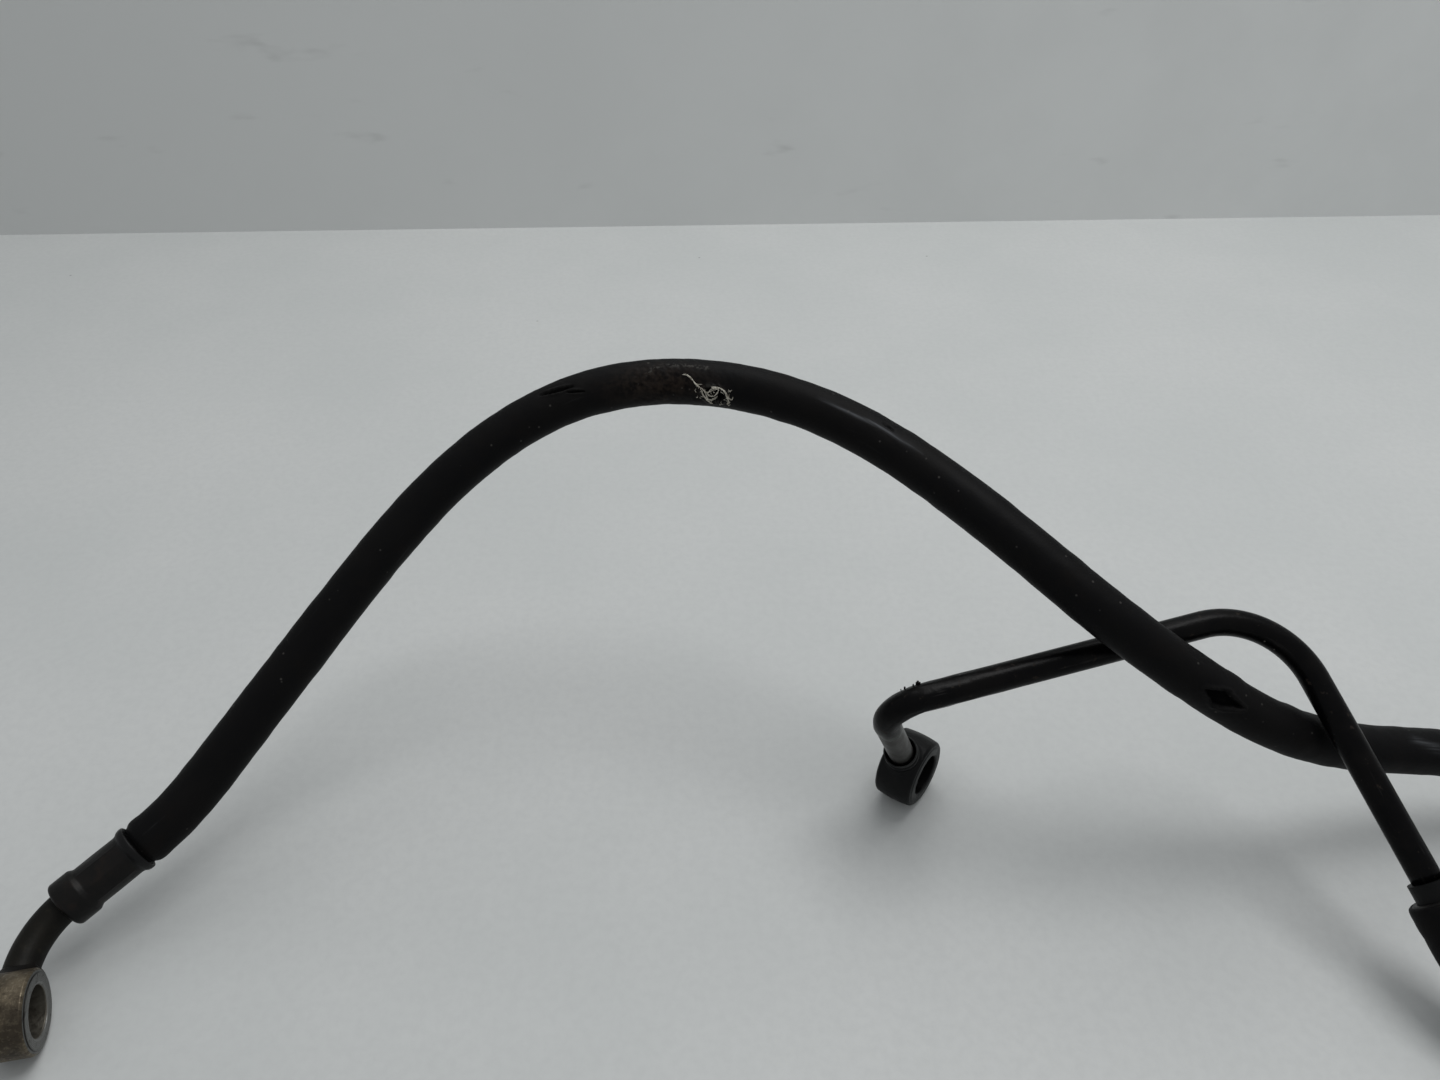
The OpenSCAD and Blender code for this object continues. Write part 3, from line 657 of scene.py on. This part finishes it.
def bend_flattening(places, start):
    """Bending draws the outer side of a tube in: the radius loses a little there, most in mid bend."""
    along = lengths(np.array(places)[:, :3, 3]) + start
    angle = TURN * np.arange(56) / 56
    arc_1, arc_2 = BEND_R_1 * np.radians(BEND_1), BEND_R_2 * np.radians(BEND_2)
    loss = np.zeros((len(along), 56))
    bends = ((RISER_L, arc_1, TURN_1, 0.55), (RISER_L + arc_1 + ACROSS_L, arc_2, TURN_1 + TURN_2, 0.12))
    for begin, arc, turn, deep in bends:
        share = np.clip((along - begin) / arc, 0, 1)
        outside = np.clip(np.cos(angle - np.radians(turn + 180)), 0, 1) ** 1.5
        loss += deep * np.sin(np.pi * share)[:, None] ** 0.8 * outside[None]
    return loss, along, angle


def make_pipe():
    """The bare tube, from inside the eye's collar to inside the hose fitting."""
    start = 7.0
    places = pipe_places(start, LAST_L + FITTING_L + 1.3)
    loss, _, _ = bend_flattening(places, start)
    tube = pipe_surface(places, PIPE_R - loss, PIPE_R - 1)
    return piece("pipe_dressed", [tube], ["hard_pipe"])


def make_coating():
    """A skin on the pipe. Its lower edge is ragged and climbs round the outer side, where it is rubbed, and
    it is lumpy and scraped at the first bend."""
    start, outer_side = 29.0, np.radians(216)
    places = pipe_places(start, LAST_L)
    loss, along, angle = bend_flattening(places, start)
    outer = PIPE_R + COAT_T - loss - 0.09 * np.exp(-(along - start) / 0.8)[:, None]
    skin = pipe_surface(places, outer, PIPE_R - 0.02 - loss)
    n, within = len(along), np.zeros(outer.shape)
    climb = 1.1 * (1 + np.cos(angle - outer_side)) + 0.35 * np.sin(3 * angle + 1)
    climb = climb + 0.22 * np.sin(7 * angle) + 0.12 * np.sin(16 * angle + 2)
    fade = np.clip(1 - (along - start) / 4, 0, 1)[:, None]
    centres, up = np.array(places)[:, None, :3, 3], np.array(places)[:, :3, 2]
    moved = (climb[None] * fade)[..., None] * up[:, None]
    skin["grid"] += np.concatenate([moved, moved[::-1]])
    outward = (0.5 + 0.5 * np.cos(angle - outer_side))[None] ** 2
    rubbed = np.clip(1.15 - (along[:, None] - start) / (3 + 6 * outward), 0, 1)
    lumpy = np.exp(-(((along - 52) / 16) ** 2))[:, None]
    straight = np.stack([along[:, None] + within, 3 * np.cos(angle) + within, 3 * np.sin(angle) + within], -1)
    bumps = lumpy * (0.07 * sines(straight * [0.35, 1, 1], 1.3, seed=31))
    skin["grid"][:n] += bumps[..., None] * unit(skin["grid"][:n] - centres)
    skin["marks"]["scraped"] = np.concatenate([lumpy + within, within])
    skin["marks"]["rubbed"] = np.concatenate([rubbed, within])
    return piece("coating_dressed", [skin], ["pipe_coating"])


# Crumbs of loose coating on the pipe's upper back side, as [distance along the pipe, size]
CRUMBS = [[46.4, 1.0], [47.1, 0.55], [45.7, 0.5], [44.0, 0.6], [43.4, 0.35]]
UPPER_BACK = np.array([0.0, 0.62, 0.785])


def make_crumbs():
    """Small uneven lumps: short strands whose radius swells and shrinks at random."""
    start = 17.0
    places = np.array(pipe_places(start, LAST_L))
    along = lengths(places[:, :3, 3]) + start
    found = []
    for where, size in CRUMBS:
        m = places[np.argmin(np.abs(along - where))]
        out = unit(UPPER_BACK - (UPPER_BACK @ m[:3, 2]) * m[:3, 2])
        centre = m[:3, 3] + (PIPE_R + COAT_T + 0.25 * size) * out
        t = np.linspace(0.02, 0.98, 9)
        line = centre + size * (t[:, None] - 0.5) * unit(m[:3, 2] + 0.5 * out)
        radius = size * 0.55 * np.sqrt(t * (1 - t))[:, None] * 2 * rng.uniform(0.5, 1.15, (9, 10))
        angle = np.broadcast_to(TURN * np.arange(10) / 10, radius.shape)
        first = np.broadcast_to(out, (9, 3))
        second = np.broadcast_to(np.cross(m[:3, 2], out), (9, 3))
        found.append({"grid": swept(line, first, second, radius, angle), "capped": True, "marks": {}})
    return piece("coating_crumbs", found)


make_right_eye()
make_pipe()
make_coating()
make_crumbs()


# Shared effects for the materials

class Wires:
    """A node tree being wired: each call adds a node, links or sets its inputs, and gives an output."""

    def __init__(self, tree, marked=True):
        self.tree, self.marked = tree, marked

    def __call__(self, kind, inputs=None, out=0, **fields):
        made = self.tree.nodes.new("ShaderNode" + kind)
        for name, value in fields.items():
            setattr(made, name, value)
        for name, value in (inputs or {}).items():
            if isinstance(value, bpy.types.NodeSocket):
                self.tree.links.new(value, made.inputs[name])
            else:
                made.inputs[name].default_value = value
        return made.outputs[out] if len(made.outputs) else made

    def mix(self, share, a, b):
        """Colour a, with b over it where the share is."""
        return self("Mix", {0: share, 6: a, 7: b}, out=2, data_type="RGBA")

    def level(self, share, low, high):
        """A number from low to high as the share goes from 0 to 1."""
        return self("MapRange", {"Value": share, "To Min": low, "To Max": high})

    def share(self, value, low, high, kind="LINEAR"):
        """How far a value is from low to high, from 0 to 1."""
        return self("MapRange", {"Value": value, "From Min": low, "From Max": high}, interpolation_type=kind)

    def times(self, a, b):
        return self("Math", {0: a, 1: b}, operation="MULTIPLY")

    def most(self, a, b):
        return self("Math", {0: a, 1: b}, operation="MAXIMUM")

    def mark(self, name, out="Fac"):
        """A value that the mesh carries at its points."""
        return self("Attribute", out=out, attribute_name=name)

    def own(self):
        """The piece's own straight frame, or the object's on a node of the frame, which carries no marks."""
        return self.mark("own", "Vector") if self.marked else self("TexCoord", out="Object")

    def use(self, name, **inputs):
        """One of the shared effects, with its inputs by name."""
        named = {n.replace("_", " "): v for n, v in inputs.items()}
        return self("Group", named, node_tree=bpy.data.node_groups[name])

    def blots(self, where, scale, low=0.45, high=0.65):
        """Cloudy patches of about one over the scale in metres."""
        return self.use("blotches", Vector=where, Scale=scale, From=low, To=high)


def effect(name, inputs, output, wire):
    """A shared node group. Inputs are [name, kind, value], and wire gives the output's socket."""
    tree = bpy.data.node_groups.new(name, "ShaderNodeTree")
    for n, kind, value in inputs:
        socket = tree.interface.new_socket(n, in_out="INPUT", socket_type="NodeSocket" + kind)
        if value is not None:
            socket.default_value = value
    tree.interface.new_socket(output[0], in_out="OUTPUT", socket_type="NodeSocket" + output[1])
    inside_nodes, outside = tree.nodes.new("NodeGroupInput"), tree.nodes.new("NodeGroupOutput")
    tree.links.new(wire(Wires(tree), {s.name: s for s in inside_nodes.outputs}), outside.inputs[0])


def make_effects():
    """Patches, drawn-out streaks, small specks, a fine bump, and the parts of an edge that are lighter, by
    wear and by painted highlight.
    """
    where, size = ["Vector", "Vector", None], ["Scale", "Float", 100.0]
    limits = [["From", "Float", 0.45], ["To", "Float", 0.65]]
    mask = ["Mask", "Float"]

    def blotches(w, i):
        noise = w("TexNoise", {"Vector": i["Vector"], "Scale": i["Scale"], "Detail": 5.0, "Roughness": 0.6})
        return w.share(noise, i["From"], i["To"], "SMOOTHSTEP")

    def streaks(w, i):
        drawn = w("VectorMath", {0: i["Vector"], 1: i["Stretch"]}, operation="MULTIPLY")
        noise = w("TexNoise", {"Vector": drawn, "Scale": i["Scale"], "Detail": 3.0, "Roughness": 0.55})
        return w.share(noise, i["From"], i["To"], "SMOOTHSTEP")

    def specks(w, i):
        cell = w("TexVoronoi", {"Vector": i["Vector"], "Scale": i["Scale"]})
        shrunk = w("Math", {0: i["Size"], 1: 0.5}, operation="MULTIPLY")
        return w.share(cell, i["Size"], shrunk)

    def grain(w, i):
        noise = w("TexNoise", {"Vector": i["Vector"], "Scale": i["Scale"], "Detail": 4.0, "Roughness": 0.65})
        return w("Bump", {"Height": noise, "Distance": i["Depth"], "Normal": i["Normal"]})

    def worn_edges(w, i):
        noise = w("TexNoise", {"Vector": i["Vector"], "Scale": i["Scale"], "Detail": 4.0})
        rough = w("Math", {0: noise, 1: i["Edge"]}, operation="ADD")
        return w.share(rough, i["From"], i["To"])

    effect("blotches", [where, size] + limits, mask, blotches)
    effect("streaks", [where, size, ["Stretch", "Vector", (0.06, 1, 1)]] + limits, mask, streaks)
    effect("specks", [where, size, ["Size", "Float", 0.1]], mask, specks)
    effect("grain", [where, size, ["Depth", "Float", 0.0001], ["Normal", "Vector", None]],
           ["Normal", "Vector"], grain)
    effect("worn edges", [where, size, ["Edge", "Float", 0.0]] + limits, mask, worn_edges)


make_effects()


# Materials

def rgb(r, g, b):
    """A colour as it is seen, from 0 to 255, made linear."""
    c = np.array([r, g, b]) / 255
    return tuple(np.where(c < 0.04045, c / 12.92, ((c + 0.055) / 1.055) ** 2.4)) + (1.0,)


def material(name, wire, marked, **plain):
    """A material with one shader. wire gives its linked inputs, and plain its constants."""
    made = bpy.data.materials.new(name)
    made.use_nodes = True
    made.node_tree.nodes.clear()
    w = Wires(made.node_tree, marked)
    inputs = {n.replace("_", " "): v for n, v in plain.items()}
    inputs.update(wire(w))
    w("OutputMaterial", {"Surface": w("BsdfPrincipled", inputs)})
    return made


def sleeve_rubber(w):
    """Black rubber: cloudy, brown and rough where worn, pale at torn edges, with painted glints on the slits'
    lips, drawn out at scuffs, dusty, and with painted shade in its cuts, tears and inside.
    """
    own = w.own()
    cloud = w.blots(own, 55.0, 0.35, 0.75)
    colour = w.mix(cloud, rgb(7, 7, 8), rgb(13, 12, 12))
    colour = w.mix(w.times(w.blots(own, 130.0, 0.5, 0.75), 0.5), colour, rgb(16, 13, 11))
    rough_patch = w.blots(own, 700.0, 0.35, 0.62)
    worn = w.times(w.mark("worn"), w.level(w.blots(own, 180.0, 0.3, 0.6), 0.35, 1.0))
    colour = w.mix(w.times(worn, 0.75), colour, w.mix(rough_patch, rgb(15, 11, 10), rgb(43, 36, 31)))
    # Pale threads at the torn edges, and painted glints on the slits' lips
    pale = w.times(w.mark("pale"), w.blots(own, 1500.0, 0.47, 0.6))
    colour = w.mix(pale, colour, rgb(56, 55, 52))
    drawn = w.use("streaks", Vector=own, Scale=1600.0, From=0.42, To=0.62)
    colour = w.mix(w.times(w.mark("scuff"), w.level(drawn, 0.25, 0.9)), colour, rgb(78, 80, 83))
    faint = w.times(w.use("streaks", Vector=own, Scale=900.0, From=0.66, To=0.76), 0.18)
    colour = w.mix(faint, colour, rgb(58, 59, 60))
    dust = w.times(w.use("specks", Vector=own, Scale=260.0, Size=0.085), 0.4)
    colour = w.mix(dust, colour, rgb(84, 82, 79))
    # Painted shade, near black, in the cuts and tears and on the inner wall
    colour = w.mix(w.level(w.mark("hollow"), 0.0, 0.92), colour, rgb(1, 1, 1))
    rough = w.most(w.level(cloud, 0.52, 0.62), w.most(w.times(worn, 0.9), w.mark("hollow")))
    fine = w.use("grain", Vector=own, Scale=2600.0, Depth=0.00003)
    return {"Base Color": colour, "Roughness": rough,
            "Normal": w.use("grain", Vector=own, Scale=420.0, Depth=0.00008, Normal=fine)}


def hose_rubber(w):
    """Plain black rubber, a little cloudy."""
    own = w.own()
    cloud = w.blots(own, 120.0)
    return {"Base Color": w.mix(cloud, rgb(8, 8, 9), rgb(14, 13, 13)), "Roughness": w.level(cloud, 0.5, 0.65),
            "Normal": w.use("grain", Vector=own, Scale=1800.0, Depth=0.00004)}


def braid_fibre(w):
    """Pale yarn with dirt in it."""
    own = w("TexCoord", out="Object")
    strands = w.blots(own, 2400.0, 0.4, 0.6)
    dirt = w.blots(own, 500.0, 0.5, 0.7)
    yarn = w.mix(strands, rgb(168, 163, 150), rgb(214, 210, 198))
    colour = w.mix(w.times(dirt, 0.55), yarn, rgb(98, 88, 76))
    return {"Base Color": colour, "Roughness": w.level(strands, 0.7, 0.9),
            "Normal": w.use("grain", Vector=own, Scale=5200.0, Depth=0.00005)}


def from_axis(w, own):
    """The distance of a point from the bore's axis, which is its own X."""
    flat = w("VectorMath", {0: own, 1: (0.0, 1.0, 1.0)}, operation="MULTIPLY")
    return w("VectorMath", {0: flat}, out="Value", operation="LENGTH")


def turned_rings(w, own, pitch):
    """Fine rings round the bore: a sine of the distance from its axis."""
    away = from_axis(w, own)
    waver = w.times(w("TexNoise", {"Vector": own, "Scale": 90.0}), 0.0003)
    uneven = w("Math", {0: away, 1: waver}, operation="ADD")
    return w.level(w("Math", {0: w.times(uneven, TURN / pitch)}, operation="SINE"), -1.0, 1.0)


def tarnished_steel(w):
    """Brown tarnish with bright and dark spots on the rim, turned rings and scratches on the faces, a painted
    dark ring of shade at the step of the land, a painted highlight ring at the bore's edge, edges lighter by
    wear and by painted highlight, and painted shade in the fluid passage.
    """
    own = w.own()
    face = w.mark("face")
    big = w.blots(own, 130.0, 0.36, 0.66)
    small = w.blots(own, 1500.0, 0.5, 0.66)
    rim = w.mix(big, rgb(58, 51, 42), rgb(108, 98, 81))
    rim = w.mix(w.times(small, w.level(big, 0.15, 0.5)), rim, rgb(148, 139, 120))
    rim = w.mix(w.times(w.blots(own, 800.0, 0.54, 0.7), 0.5), rim, rgb(36, 30, 24))
    rings = turned_rings(w, own, 0.00034)
    cut = w.mix(w.level(rings, 0.25, 0.75), rgb(80, 80, 78), rgb(118, 118, 115))
    scratch = w.use("streaks", Vector=own, Scale=1300.0, Stretch=(0.3, 1.0, 0.12), From=0.56, To=0.68)
    cut = w.mix(w.times(scratch, 0.7), cut, rgb(34, 31, 28))
    cut = w.mix(w.blots(own, 520.0, 0.58, 0.66), cut, rgb(42, 38, 33))
    cut = w.mix(w.blots(own, 300.0, 0.6, 0.72), cut, rgb(150, 150, 147))
    away = from_axis(w, own)
    # A dark ring painted at the step of the raised land: painted shade
    step = w.share(away, 0.00732, 0.00748, "SMOOTHSTEP")
    past = w.share(away, 0.0076, 0.00772)
    cut = w.mix(w.times(step, w.level(past, 0.9, 0.0)), cut, rgb(24, 22, 19))
    # A pale ring painted just outside the bore's chamfer: a painted highlight
    lip = w.share(away, 0.0058, 0.00555)
    cut = w.mix(w.times(lip, 0.5), cut, rgb(135, 135, 132))
    bore = w.mix(w.blots(own, 200.0, 0.4, 0.7), rgb(92, 89, 81), rgb(62, 58, 51))
    colour = w.mix(w.mark("bore"), w.mix(face, rim, cut), bore)
    # Lighter edges: partly worn steel, partly painted highlight
    bright = w.use("worn edges", Vector=own, Scale=500.0, Edge=w.mark("edge"), From=1.05, To=1.3)
    colour = w.mix(w.times(bright, 0.7), colour, rgb(160, 158, 153))
    # Painted shade, near black, in the fluid passage
    colour = w.mix(w.mark("hollow"), colour, rgb(8, 8, 8))
    rough = w.level(w.most(small, face), 0.52, 0.36)
    pits = w.use("grain", Vector=own, Scale=1100.0, Depth=0.00012)
    turning = w.times(rings, w.times(face, 0.5))
    return {"Base Color": colour, "Roughness": rough, "Metallic": w.level(w.most(small, face), 0.75, 0.9),
            "Normal": w("Bump", {"Height": turning, "Distance": 0.00003, "Normal": pits})}


def neck_steel(w):
    """Dark oily steel, darkest at the braze."""
    own = w.own()
    big = w.blots(own, 150.0, 0.35, 0.7)
    colour = w.mix(big, rgb(11, 10, 7), rgb(21, 19, 14))
    colour = w.mix(w.times(w.blots(own, 600.0, 0.55, 0.68), 0.4), colour, rgb(33, 29, 22))
    colour = w.mix(w.times(w.mark("braze"), 0.7), colour, rgb(11, 9, 8))
    return {"Base Color": colour, "Roughness": w.level(big, 0.58, 0.48), "Metallic": 0.1,
            "Normal": w.use("grain", Vector=own, Scale=900.0, Depth=0.00008)}


def ferrule_dark(w):
    """Dark plated steel with rust patches, pits, and painted glints along its edges."""
    own = w.own()
    big = w.blots(own, 140.0, 0.35, 0.7)
    colour = w.mix(big, rgb(10, 10, 9), rgb(18, 16, 15))
    rust = w.times(w.blots(own, 330.0, 0.5, 0.7), 0.6)
    colour = w.mix(rust, colour, rgb(28, 21, 17))
    pits = w.use("specks", Vector=own, Scale=420.0, Size=0.14)
    colour = w.mix(w.times(pits, 0.7), colour, rgb(14, 13, 12))
    colour = w.mix(w.mark("lip"), colour, rgb(6, 6, 7))
    # Painted glints along the edges
    glint = w.use("worn edges", Vector=own, Scale=350.0, Edge=w.mark("edge"), From=1.35, To=1.5)
    colour = w.mix(w.times(glint, 0.4), colour, rgb(104, 100, 94))
    return {"Base Color": colour, "Roughness": w.level(big, 0.5, 0.4),
            "Metallic": w.level(w.mark("lip"), 0.25, 0.0),
            "Normal": w.use("grain", Vector=own, Scale=700.0, Depth=0.0001)}


def black_paint(w):
    """Black paint, thinner on the faces, with lighter edges that are partly rubbed paint and partly painted
    highlight, painted shade in the bore and the hollows, and painted glints in the bore.
    """
    own = w.own()
    cloud = w.blots(own, 220.0, 0.35, 0.7)
    colour = w.mix(cloud, rgb(7, 8, 9), rgb(14, 14, 14))
    face = w.times(w.mark("face"), w.level(cloud, 0.6, 1.0))
    colour = w.mix(face, colour, rgb(41, 42, 42))
    # Lighter edges: partly rubbed paint, partly painted highlight
    rubbed = w.use("worn edges", Vector=own, Scale=420.0, Edge=w.mark("edge"), From=1.0, To=1.35)
    colour = w.mix(w.times(rubbed, 0.6), colour, rgb(78, 80, 79))
    # Painted shade in the bore, with painted glints in it
    colour = w.mix(w.times(w.mark("bore"), 0.85), colour, rgb(3, 3, 3))
    glint = w.times(w.mark("bore"), w.use("specks", Vector=own, Scale=330.0, Size=0.16))
    colour = w.mix(w.times(glint, 0.5), colour, rgb(80, 80, 77))
    # Painted shade, near black, in the passage and in the collar's mouth
    colour = w.mix(w.mark("hollow"), colour, rgb(6, 6, 6))
    return {"Base Color": colour, "Roughness": w.level(cloud, 0.5, 0.4),
            "Normal": w.use("grain", Vector=own, Scale=650.0, Depth=0.00012)}


def pipe_steel(w):
    """Dull grey steel, stained, and darker near its start, inside the collar."""
    own = w.own()
    cloud = w.blots(own, 260.0, 0.4, 0.65)
    colour = w.mix(cloud, rgb(68, 68, 66), rgb(56, 55, 52))
    # Darker near the start of the tube, inside the collar
    low = w.share(w("SeparateXYZ", {0: own}), 0.0066, 0.0048)
    colour = w.mix(w.times(low, 0.8), colour, rgb(34, 31, 28))
    stain = w.blots(own, 900.0, 0.6, 0.68)
    colour = w.mix(w.times(stain, 0.6), colour, rgb(78, 70, 60))
    return {"Base Color": colour, "Roughness": w.level(cloud, 0.38, 0.5), "Metallic": 0.55,
            "Normal": w.use("grain", Vector=own, Scale=1000.0, Depth=0.00006)}


def pipe_coating(w):
    """Thin black coating with scrapes, chips and dust, rubbed thin at its lower edge."""
    own = w.own()
    cloud = w.blots(own, 180.0, 0.35, 0.7)
    colour = w.mix(cloud, rgb(4, 4, 5), rgb(10, 9, 9))
    drawn = w.use("streaks", Vector=own, Scale=700.0, Stretch=(0.09, 1.0, 1.0), From=0.6, To=0.72)
    colour = w.mix(w.times(drawn, w.level(w.mark("scraped"), 0.35, 0.9)), colour, rgb(52, 50, 49))
    chips = w.blots(own, 520.0, 0.62, 0.68)
    colour = w.mix(w.times(chips, 0.5), colour, rgb(46, 40, 35))
    dust = w.use("specks", Vector=own, Scale=240.0, Size=0.07)
    colour = w.mix(w.times(dust, 0.5), colour, rgb(116, 112, 107))
    thin = w.times(w.mark("rubbed"), w.level(w.blots(own, 240.0, 0.3, 0.65), 0.5, 1.0))
    colour = w.mix(thin, colour, rgb(82, 84, 81))
    return {"Base Color": colour, "Roughness": w.level(w.most(drawn, chips), 0.3, 0.55),
            "Normal": w.use("grain", Vector=own, Scale=380.0, Depth=0.00012)}


def insert_steel(w):
    """Plain plated steel."""
    own = w("TexCoord", out="Object")
    cloud = w.blots(own, 300.0)
    return {"Base Color": w.mix(cloud, rgb(150, 150, 146), rgb(112, 110, 104)),
            "Roughness": w.level(cloud, 0.3, 0.5), "Metallic": 0.9,
            "Normal": w.use("grain", Vector=own, Scale=900.0, Depth=0.00004)}


def dress():
    """Each piece and each shown node of the frame gets its material."""
    finishes = [
        ("sleeve_rubber", sleeve_rubber, {"Specular_IOR_Level": 0.075}, ["rubber_sleeve"]),
        ("hose_rubber", hose_rubber, {"Specular_IOR_Level": 0.12}, ["hose_outer_cover", "hose_inner_tube"]),
        ("braid_fibre", braid_fibre, {"Specular_IOR_Level": 0.3}, ["hose_braid_layer", "frayed_fibres"]),
        ("tarnished_steel", tarnished_steel, {}, ["left_eye_dressed"]),
        ("neck_steel", neck_steel, {"Specular_IOR_Level": 0.15}, ["left_neck_dressed"]),
        ("ferrule_dark", ferrule_dark, {"Specular_IOR_Level": 0.2}, ["left_ferrule_dressed"]),
        ("ferrule_under_sleeve", ferrule_dark, {"Specular_IOR_Level": 0.3}, ["right_crimp_ferrule"]),
        ("black_paint", black_paint, {"Specular_IOR_Level": 0.12}, ["right_eye_dressed"]),
        ("fitting_paint", black_paint, {"Specular_IOR_Level": 0.12}, ["right_hose_insert"]),
        ("pipe_steel", pipe_steel, {}, ["pipe_dressed"]),
        ("pipe_coating", pipe_coating, {"Specular_IOR_Level": 0.075}, ["coating_dressed", "coating_crumbs"]),
        ("insert_steel", insert_steel, {}, ["left_hose_insert"]),
    ]
    for name, wire, plain, pieces in finishes:
        on_node = pieces[0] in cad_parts
        made = material(name, wire, not on_node, **plain)
        for p in pieces:
            if on_node:
                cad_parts[p].material_slots[0].material = made
            else:
                bpy.data.objects[p].data.materials.append(made)


dress()


# Floor, backdrop and light

def plate(name, corners, wire):
    """A flat sheet that isn't part of the line."""
    mesh = bpy.data.meshes.new(name)
    mesh.from_pydata(corners, [], [(0, 1, 2, 3)])
    made = bpy.data.objects.new(name, mesh)
    bpy.context.collection.objects.link(made)
    finish = bpy.data.materials.new(name)
    finish.use_nodes = True
    finish.node_tree.nodes.clear()
    w = Wires(finish.node_tree)
    w("OutputMaterial", {"Surface": wire(w)})
    mesh.materials.append(finish)
    return made


def floor_finish(w):
    """Pale, a little cloudy, with a fine grain and a few dark specks."""
    where = w("TexCoord", out="Object")
    cloud = w.blots(where, 9.0, 0.3, 0.7)
    colour = w.mix(cloud, rgb(187, 190, 189), rgb(193, 195, 194))
    fine = w.blots(where, 420.0, 0.3, 0.75)
    colour = w.mix(w.times(fine, 0.35), colour, rgb(178, 180, 180))
    marks = w.use("specks", Vector=where, Scale=26.0, Size=0.018)
    colour = w.mix(w.times(marks, 0.6), colour, rgb(90, 90, 90))
    return w("BsdfPrincipled", {"Base Color": colour, "Roughness": 0.6, "Specular IOR Level": 0.3})


def wall_finish(w):
    """Pale, painted lighter to the right as if more light fell there, smudged, and see-through from behind.
    """
    where = w("TexCoord", out="Object")
    cloud = w.blots(where, 14.0, 0.3, 0.7)
    # Painted light: the wall's colour grows lighter towards the right
    sideways = w.share(w("SeparateXYZ", {0: where}), -0.5, 0.45)
    colour = w.mix(sideways, rgb(203, 205, 204), rgb(222, 224, 223))
    colour = w.mix(w.times(cloud, 0.4), colour, rgb(205, 207, 206))
    smudge = w.use("streaks", Vector=where, Scale=60.0, Stretch=(0.3, 1.0, 1.0), From=0.64, To=0.78)
    colour = w.mix(w.times(smudge, 0.35), colour, rgb(150, 150, 150))
    shown = w("BsdfPrincipled", {"Base Color": colour, "Roughness": 0.8, "Specular IOR Level": 0.2})
    behind = w("NewGeometry", out="Backfacing")
    return w("MixShader", {0: behind, 1: shown, 2: w("BsdfTransparent")})


def lamp(name, place, aim, size, power):
    """A square soft lamp that looks at a point."""
    data = bpy.data.lights.new(name, "AREA")
    data.size, data.energy = size, power
    made = bpy.data.objects.new(name, data)
    made.location = place
    made.rotation_euler = (Vector(aim) - Vector(place)).to_track_quat("-Z", "Y").to_euler()
    bpy.context.collection.objects.link(made)


plate("floor", [(-2, -2, 0), (2, -2, 0), (2, 2, 0), (-2, 2, 0)], floor_finish)
wall_corners = [(-1.2, 0.356, 0), (1.2, 0.441, 0), (1.2, 0.441, 0.3), (-1.2, 0.356, 0.3)]
wall = plate("backdrop", wall_corners, wall_finish)
wall.visible_shadow = False
lamp("lamp_overhead", (0.27, 0.2, 0.98), (0, 0, 0.03), 0.45, 3.8)
lamp("lamp_behind", (0.0, 0.62, 0.95), (0, 0, 0.03), 0.6, 2.6)

world = bpy.data.worlds.new("studio")
bpy.context.scene.world = world
world.use_nodes = True
world.node_tree.nodes["Background"].inputs["Color"].default_value = (0.96, 0.98, 1.0, 1)
world.node_tree.nodes["Background"].inputs["Strength"].default_value = 0.46
bpy.context.scene.view_settings.view_transform = "Standard"
